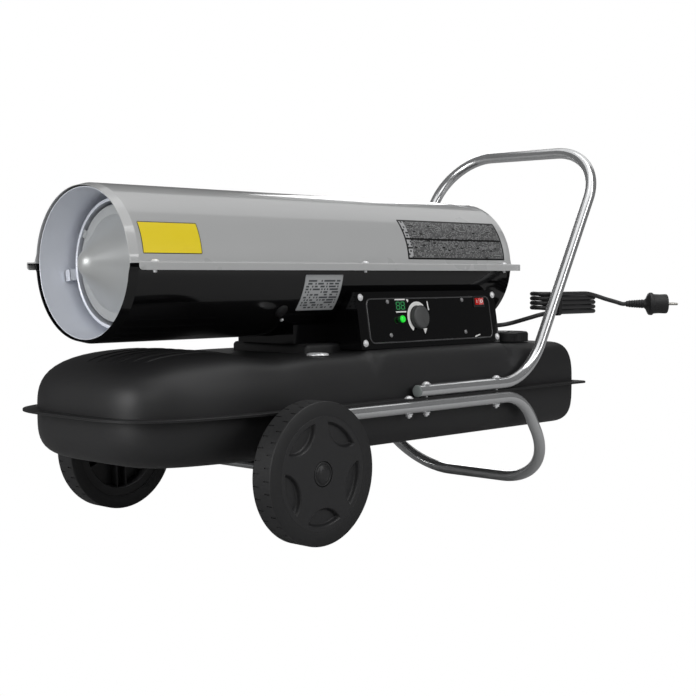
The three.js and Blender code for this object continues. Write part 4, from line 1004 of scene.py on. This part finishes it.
# Glass-fibre board: satin green, slightly uneven. Potting compound: dull black.
painted(finish("green glass-fibre board", "#1d5a34", "#24663c", 0.4, patch=9, grain=1.2, relief=0.06),
        "circuit_board")
painted(finish("black potted coil", "#191a1b", "#1f2021", 0.45, patch=14, grain=1.0, relief=0.05),
        "ignition_transformer", "thermostat_body")


def on_panel(outline, y0, y1):
    """A flat shape on the panel from points (along, up), between two distances out from it."""
    vertices = [PANEL @ Vector((u, y, v)) for y in (y1, y0) for u, v in outline]
    return vertices, skin(2, len(outline))


def rectangle(u0, u1, v0, v1):
    return [(u0, v0), (u1, v0), (u1, v1), (u0, v1)]


def panel_ring(centre, inner, outer, start, end, y0, y1, steps=48):
    """A part of a flat ring between two clock angles in degrees, printed on the panel."""
    vertices = []
    for k in range(steps + 1):
        angle = math.radians(start + (end - start) * k / steps)
        for radius, y in ((inner, y0), (outer, y0), (outer, y1), (inner, y1)):
            u, v = centre[0] + radius * math.sin(angle), centre[1] + radius * math.cos(angle)
            vertices.append(PANEL @ Vector((u, y, v)))
    return vertices, skin(steps + 1, 4)


face_outline = rounded_outline(-151, 155, -35.5, 33.5, 10, 6)
fit(shown("panel_face", on_panel(face_outline, -PRESSED, -0.02), black_enamel, 30), "base", "black_paint")
# The bead on the pressed edge is painted a light grey, far lighter than the black enamel: a painted
# highlight, so it shows as a thin grey line.
painted_edge_highlight = finish("black enamel with a painted highlight on the pressed edge", "#3a3a3b", "#414142", 0.25, coat=0.5, patch=30,
                     grain=0.8, relief=0.005)
edge_line = [PANEL @ Vector((u, -0.2, v)) for u, v in face_outline + face_outline[:2]]
fit(shown("panel_edge", swept(edge_line, EDGE_BEAD, 10), painted_edge_highlight, 30), "base", "black_paint")


def panel_screw(u, v, y, radius, height, washer):
    """A pan-head screw on the panel, with its washer, about its own axis."""
    shape = [(0, 0), (0, washer), (0.7, washer), (0.8, radius), (0.8 + height * 0.35, radius),
             (0.8 + height * 0.75, radius * 0.8), (0.8 + height, radius * 0.45),
             (0.6 + height, radius * 0.3), (0.6 + height, 0)]
    return moved(turned(shape, "x", 24), PANEL @ Matrix.Translation((u, y, v)) @ OUTWARD)


corner_screws = [panel_screw(u, v, 0, 4.0, 2.4, 5.4) for u, v in CORNER_SCREWS]
fit(shown("panel_screws", joined(*corner_screws), zinc, 25), "base", "zinc")
# Blackened screws: worn to a grey that is duller than zinc.
blackened = finish("blackened steel screw", "#8c8c8d", "#979798", 0.4, 0.5, patch=6, grain=0.5, relief=0.02)
face_screws = [panel_screw(u, v, -PRESSED, 3.4, 1.2, 3.4) for u, v in FACE_SCREWS]
fit(shown("face_screws", joined(*face_screws), blackened, 25), "base", "black_paint")


def lit(material, colour, strength):
    """Lets a finish give off light of a colour."""
    shader = material.node_tree.nodes["Principled BSDF"]
    shader.inputs["Emission Color"].default_value = srgb(colour)
    shader.inputs["Emission Strength"].default_value = strength
    return material


# Smoked acrylic: green-black and glassy.
smoked = finish("smoked acrylic window", "#10231a", "#14291f", 0.12, coat=0.4, patch=18, grain=0.8,
                relief=0.005)
painted(smoked, "display_window")
# Lit segments: a dim green of their own.
lit_green = lit(finish("lit green segments", "#2a8a4a", "#309452", 0.4, patch=5, grain=0.5, relief=0.005),
                "#2f9d56", 0.35)
DIGIT_STEP, SEGMENT_FACES, BAR_FACES = 5.6, (-1.1, -0.81), (-1.2, -0.72)
SEGMENTS = [(-3.1, 3.1, 5.2, 6.1), (-3.1, 3.1, -0.5, 0.5), (-3.1, 3.1, -6.1, -5.2), (-4.3, -3.3, 0.7, 5.4),
            (3.3, 4.3, 0.7, 5.4), (-4.3, -3.3, -5.4, -0.7), (3.3, 4.3, -5.4, -0.7)]
digits = []
for u in (DISPLAY_AT[0] - DIGIT_STEP, DISPLAY_AT[0] + DIGIT_STEP):
    for u0, u1, v0, v1 in SEGMENTS:
        bar = rectangle(u + u0, u + u1, DISPLAY_AT[1] + v0, DISPLAY_AT[1] + v1)
        digits.append(on_panel(bar, *SEGMENT_FACES))
fit(shown("display_digits", joined(*digits), lit_green, 30), "base", "green_lens")

# Screen print: flat white. Two bars frame the display, and the rest are small marks and the knob's scale.
white_print = finish("white screen print", "#e9e9e7", "#f2f2f0", 0.5, patch=10, grain=0.6, relief=0.01)
MARKS = [[(-58, 31.8), (-53, 31.8), (-53, 28.6), (-55, 27)], [(-14.4, -15.4), (-24.3, -15.8), (-20.7, -24.6)],
         [(-6.8, 13.5), (-4.2, 13.5), (-5.7, 27.7), (-8.3, 27.7)],
         [(106, -32.4), (120, -29), (121, -30.8), (107, -34.2)]]
prints = [on_panel(rectangle(-85.3, -61, v - 1, v + 1), *BAR_FACES) for v in (31.6, 12.0)]
prints += [on_panel(mark, -PRESSED - INK, -PRESSED) for mark in MARKS]
prints += [panel_ring(KNOB_AT, 19.6, 25.8, -143, 40, -PRESSED - INK, -PRESSED)]
fit(shown("panel_print", joined(*prints), white_print, 30), "base", "black_paint")

# The lamp: a deep green barrel under a dome that glows a clear green.
lamp_green = finish("dark green lens housing", "#0c5420", "#106327", 0.25, coat=0.4, patch=6, grain=0.6,
                    relief=0.01)
green_glow = lit(finish("lit green lens", "#19c832", "#20d43a", 0.2, coat=0.5, patch=5, grain=0.5,
                        relief=0.005), "#12e22e", 0.5)
stem = [(-6, 0), (-6, 5.8), (5.4, 5.8), (5.6, 5.2), (5.6, 0)]
dome = [(5.8, 0), (5.8, 5.7), (7, 5.6), (8, 5.0), (8.7, 3.6), (9, 1.8), (9, 0)]
lamp_way = PANEL @ Matrix.Translation((LAMP_AT[0], 0, LAMP_AT[1])) @ OUTWARD
housing = shown("lamp_housing", moved(turned(stem, "x", 40), lamp_way), lamp_green, 30)
fit(housing, "base", "green_lens", "heat_lamp")
fit(shown("lamp_lens", moved(turned(dome, "x", 40), lamp_way), green_glow, 30), "base", "green_lens")

# Knob plastic: matt mid grey, lighter than the panel, so the knob stands out from it.
knob_plastic = finish("matt grey knob plastic", "#474848", "#4f5050", 0.48, patch=12, grain=0.9, relief=0.04)
KNOB = PANEL @ Matrix.Translation((KNOB_AT[0], 0, KNOB_AT[1]))
KNOB_RIBS, POINTER_TURN = 36, 60
knob_shape = [(-10, 0), (-10, 15.6), (-9.7, 16.6), (-9, 17.4), (-8, 17.8), (-1.2, 18), (-0.9, 17.4),
              (-0.9, 3.8), (7, 3.8), (7, 0)]
knob_body = shown("thermostat_grip", moved(turned(knob_shape, "y", 72), KNOB), knob_plastic, 30)
turn_only = KNOB.to_3x3().to_4x4()
knob_rib = moved(block(16.4, 18.8, -8.6, -1.2, -0.75, 0.75), turn_only)
knob_ribs = repeated("knob_ribs", knob_rib, knob_plastic, KNOB_RIBS, KNOB.translation,
                     turn_only @ Vector((0, 1, 0)))
pointer = shown("knob_pointer", moved(block(4, 15, -10.3, -9.9, -0.9, 0.9), KNOB @ Matrix.Rotation(
    math.radians(POINTER_TURN), 4, "Y")), knob_plastic)
fit(merged(knob_body, knob_ribs, pointer), "knob", "grey_plastic", "thermostat_knob")

painted(nylon, "power_switch")
# Translucent polycarbonate: deep glossy red with a trace of glow, marked in white.
red_rocker = lit(finish("red translucent polycarbonate", "#b01512", "#ba1d18", 0.12, coat=0.7, patch=8,
                        grain=0.7, relief=0.01), "#e02018", 0.08)
painted(red_rocker, "switch_rocker")
# The rocker is tipped to one side at rest, and each half of its face rises 1.6 mm over 9.3 mm.
TIPPED, slope, MARK_OUT, MARK_UP = math.radians(-8), math.atan2(1.6, 9.3), 5.4, -6.35
ROCKER = PANEL @ Matrix.Translation((ROCKER_AT[0], 3, ROCKER_AT[1])) @ Matrix.Rotation(TIPPED, 4, "Z")
line_place = ROCKER @ Matrix.Translation((-MARK_OUT, MARK_UP, 0)) @ Matrix.Rotation(slope, 4, "Z")
ring_place = ROCKER @ Matrix.Translation((MARK_OUT, MARK_UP, 0)) @ Matrix.Rotation(-slope, 4, "Z")
ring_mark = turned([(-0.25, 2.7), (-0.25, 1.7), (0.1, 1.7), (0.1, 2.7), (-0.25, 2.7)], "y", 24)
marks = joined(moved(block(-0.5, 0.5, -0.25, 0.1, -2.6, 2.6), line_place), moved(ring_mark, ring_place))
fit(shown("rocker_marks", marks, white_print, 30), "rocker", "red_plastic")


# ---- Handle and leg ---------------------------------------------------------------------------------------
# One bent steel tube above the tank's rim and one below it, 19.4 mm across, bright zinc-plated. Through bolts
# clamp both to the rim, and the handle's ends have plastic plugs.

# Bright plate on a tube: long bright and dark lines that follow each bend.
bright_tube = finish("bright zinc-plated tube", "#dadbdc", "#e3e4e5", 0.16, 0.82, patch=70, grain=0.9,
                     relief=0.006)
TUBE, TUBE_WALL, TUBE_SIDES, TUBE_GAP = 9.7, 1.5, 36, 0.3
HANDLE_Z, LEG_Z = SEAM_TOP + TUBE_GAP + TUBE, SEAM_BOTTOM - TUBE_GAP - TUBE
HANDLE_Y, LEG_Y, BOLT_Y = 178.5, 180.5, 179.5
handle_half = [(1, HANDLE_Z, 0), (288.4, HANDLE_Z, 122), (517.5, 596.65, 103)]
leg_half = [(-295, LEG_Z, 0), (268.2, LEG_Z, 88), (375.3, TUBE, 119)]


def loop_line(half, y):
    """The middle line of a loop of tube, from the corners (x, z, bend radius) of its near half."""
    near = [((x, -y, z), bend) for x, z, bend in half]
    return bent(near + [((x, y, z), bend) for x, z, bend in half[::-1]], 3)


def tube(points):
    """A hollow round tube with open ends."""
    outside = swept(points, TUBE, TUBE_SIDES, caps=False)
    inside = swept(points, TUBE - TUBE_WALL, TUBE_SIDES, caps=False)
    vertices, faces = joined(outside, inside)
    last, inner = (len(points) - 1) * TUBE_SIDES, len(outside[0])
    for k in range(TUBE_SIDES):
        n = (k + 1) % TUBE_SIDES
        faces += [(k, n, inner + n, inner + k), (last + k, last + n, inner + last + n, inner + last + k)]
    return vertices, faces


handle = shown("push_handle", tube(loop_line(handle_half, HANDLE_Y)), bright_tube, 40)
fit(handle, "base", "bright_tube", "handle_tube")
leg = shown("rest_leg", tube(loop_line(leg_half, LEG_Y)), bright_tube, 40)
fit(leg, "base", "bright_tube", "leg_tube")

# Tube plugs: soft grey plastic, darker than the tube's end.
plug_plastic = finish("grey plastic tube plug", "#7c8381", "#858c8a", 0.4, patch=10, grain=0.6, relief=0.02)
end_profile = [(-1.3, 0), (-1.3, 7), (-1, 7.9), (-0.6, 9.1), (0.1, 9.5), (0.7, 9.5), (0.7, 7.3), (13, 7.3),
               (13, 0)]
for name, side in SIDES:
    end = moved(turned(end_profile, "x", 32), Matrix.Translation((0, side * HANDLE_Y, HANDLE_Z)))
    fit(shown(f"handle_end_{name}", end, plug_plastic, 30), "base", "black_plastic", f"tube_plug_{name}")


def through_bolt(head, nut, x, y):
    """A round-headed bolt from under the head down to the nut, with a washer at each end."""
    profile = [(head + 4.1, 0), (head + 4.0, 2), (head + 3.3, 4), (head + 2.2, 5.2), (head + 1, 5.5),
               (head + 0.9, 7), (head, 7), (head, 2.5), (nut, 2.5), (nut, 6.4), (nut - 0.9, 6.4),
               (nut - 1, 5), (nut - 4.6, 5), (nut - 4.8, 2.5), (nut - 6.6, 2.4), (nut - 7, 1.8), (nut - 7, 0)]
    return moved(turned(profile, "z", 24), Matrix.Translation((x, y, 0)))


HEAD, NUT, LEG_HEAD = HANDLE_Z + TUBE + 0.2, LEG_Z - TUBE - 0.2, SEAM_TOP + 0.2
bolts = [through_bolt(head, NUT, x, side * BOLT_Y)
         for head, x in ((HEAD, 20.2), (HEAD, 199), (LEG_HEAD, -21)) for _, side in SIDES]
tube_bolts = shown("tube_bolts", joined(*bolts), zinc, 30)
fit(tube_bolts, "base", "zinc", "front_bolt_near", "front_bolt_far", "rear_bolt_near", "rear_bolt_far")


# ---- Wheels ------------------------------------------------------------------------------------------------
# Solid rubber tyres with a tread of staggered slots on black polypropylene discs. Each disc has five scooped
# recesses and a snap-on hub cap, and turns on a plain steel axle held under the leg tube.

WHEEL_X, WHEEL_Y, WHEEL_Z = -271, 223.9, 100
RECESSES, RECESS_TURN = 5, 56
RECESS = {"centre": 84, "rim": 72.5, "radius": 37, "depth": 7}
DISC_STEPS, FACE_RINGS = 360, 66
# Polypropylene: black with a soft plastic sheen that shows the recesses.
polypropylene = finish("black moulded polypropylene", "#232324", "#272728", 0.42, patch=40, grain=1.0,
                       relief=0.03)
# Tyre rubber: duller than the disc, so the tyre reads as a darker ring.
rubber = finish("solid black rubber tyre", "#1e1e1f", "#222223", 0.55, patch=35, grain=1.1, relief=0.06)


def recess_depth(x, z):
    """How far the outer face is sunk at a place on the disc: five half-moons with rounded walls."""
    deepest = 0.0
    for k in range(RECESSES):
        way = math.radians(RECESS_TURN + 72 * k)
        distance = math.hypot(x - RECESS["centre"] * math.cos(way), z - RECESS["centre"] * math.sin(way))
        inside = min(RECESS["rim"] - math.hypot(x, z), RECESS["radius"] - distance)
        deepest = max(deepest, RECESS["depth"] * smooth(inside, -0.4, 3.6))
    return deepest


def disc_shape():
    """The disc, with its outer face towards +Y and a deep hollow towards the tank."""
    profile = [(-17, 7.3), (-17, 17), (-13, 18.5), (3, 19.5), (3, 64), (-13, 66), (-15, 67.5), (-15, 79.9),
               (17.5, 79.9)]
    rings = [(along, radius, False) for along, radius in profile]
    rings += [(17.6, 79.7 + (18 - 79.7) * k / FACE_RINGS, True) for k in range(FACE_RINGS + 1)]
    rings += [(14.2, 17.4, False), (14.2, 7.3, False)]
    vertices, faces = [], []
    for along, radius, sunk in rings:
        for k in range(DISC_STEPS):
            angle = 2 * math.pi * k / DISC_STEPS
            x, z = radius * math.cos(angle), radius * math.sin(angle)
            vertices.append((x, along - (recess_depth(x, z) if sunk else 0), z))
    for r in range(len(rings)):
        s = (r + 1) % len(rings)
        for k in range(DISC_STEPS):
            n = (k + 1) % DISC_STEPS
            faces.append((r * DISC_STEPS + k, r * DISC_STEPS + n, s * DISC_STEPS + n, s * DISC_STEPS + k))
    return vertices, faces


TREAD_COUNT, BLOCK_TURN, BLOCK_STEPS = 36, 8.9, 5
GROOVE, TREAD = 98.2, 100
TREAD_ROWS = [(-15, -5, 0), (5, 15, 5)]


def tread_block(y0, y1, turn):
    """One block of the tread between two slots, turned by degrees from the top of the wheel."""
    vertices = []
    for k in range(BLOCK_STEPS + 1):
        angle = math.radians(turn + BLOCK_TURN * (k / BLOCK_STEPS - 0.5))
        for radius, y in ((GROOVE, y0), (GROOVE, y1), (TREAD, y1), (TREAD, y0)):
            vertices.append((radius * math.sin(angle), y, radius * math.cos(angle)))
    return vertices, skin(BLOCK_STEPS + 1, 4)


tyre_profile = [(-15, 80), (-17, 80.2), (-17.7, 83), (-17.7, 98.4), (-17.1, 99.6), (-16.2, 100), (-15, 100),
                (-15, 98.4), (-5, 98.4), (-5, 100), (5, 100), (5, 98.4), (15, 98.4), (15, 100), (16.5, 100),
                (17.3, 99.7), (17.7, 99.1), (17.7, 81), (17.5, 80), (-15, 80)]
cap_profile = [(14.4, 0), (14.4, 16.8), (17.2, 16.8), (17.8, 16.2), (17.8, 14.6), (17, 14), (17, 13),
               (17.9, 12.4), (19.2, 10.6), (20.2, 7.6), (20.7, 4), (20.8, 0)]
tread = joined(*(tread_block(y0, y1, turn) for y0, y1, turn in TREAD_ROWS))
rib = joined(block(19, 65, -11, 4, -9.5, -7.5), block(19, 65, -11, 4, 7.5, 9.5))
rib_turn = Matrix.Rotation(math.radians(-RECESS_TURN), 4, "Y")
for name, side in SIDES:
    centre = Matrix.Translation((WHEEL_X, side * WHEEL_Y, WHEEL_Z))
    mirror = Matrix.Scale(side, 4, (0, 1, 0))
    flip = centre @ mirror
    disc = shown(f"disc_{name}", moved(disc_shape(), flip), polypropylene, 50)
    ribs = repeated(f"ribs_{name}", moved(rib, mirror @ rib_turn), polypropylene, RECESSES,
                    centre.translation, (0, 1, 0))
    fit(merged(disc, ribs), f"{name}_wheel", "black_plastic", f"wheel_disc_{name}")
    blocks = repeated(f"solid_tyre_{name}", moved(tread, mirror), rubber, TREAD_COUNT, centre.translation,
                      (0, 1, 0))
    carcass = shown(f"carcass_{name}", moved(turned(tyre_profile, "y", 180), flip), rubber, 40)
    fit(merged(blocks, carcass), f"{name}_wheel", "tyre_rubber", f"tyre_{name}")
    cap = shown(f"hub_{name}", moved(turned(cap_profile, "y", 64), flip), polypropylene, 40)
    fit(cap, f"{name}_wheel", "black_plastic", f"hub_cap_{name}")
painted(black_enamel, "axle_bracket_near", "axle_bracket_far")
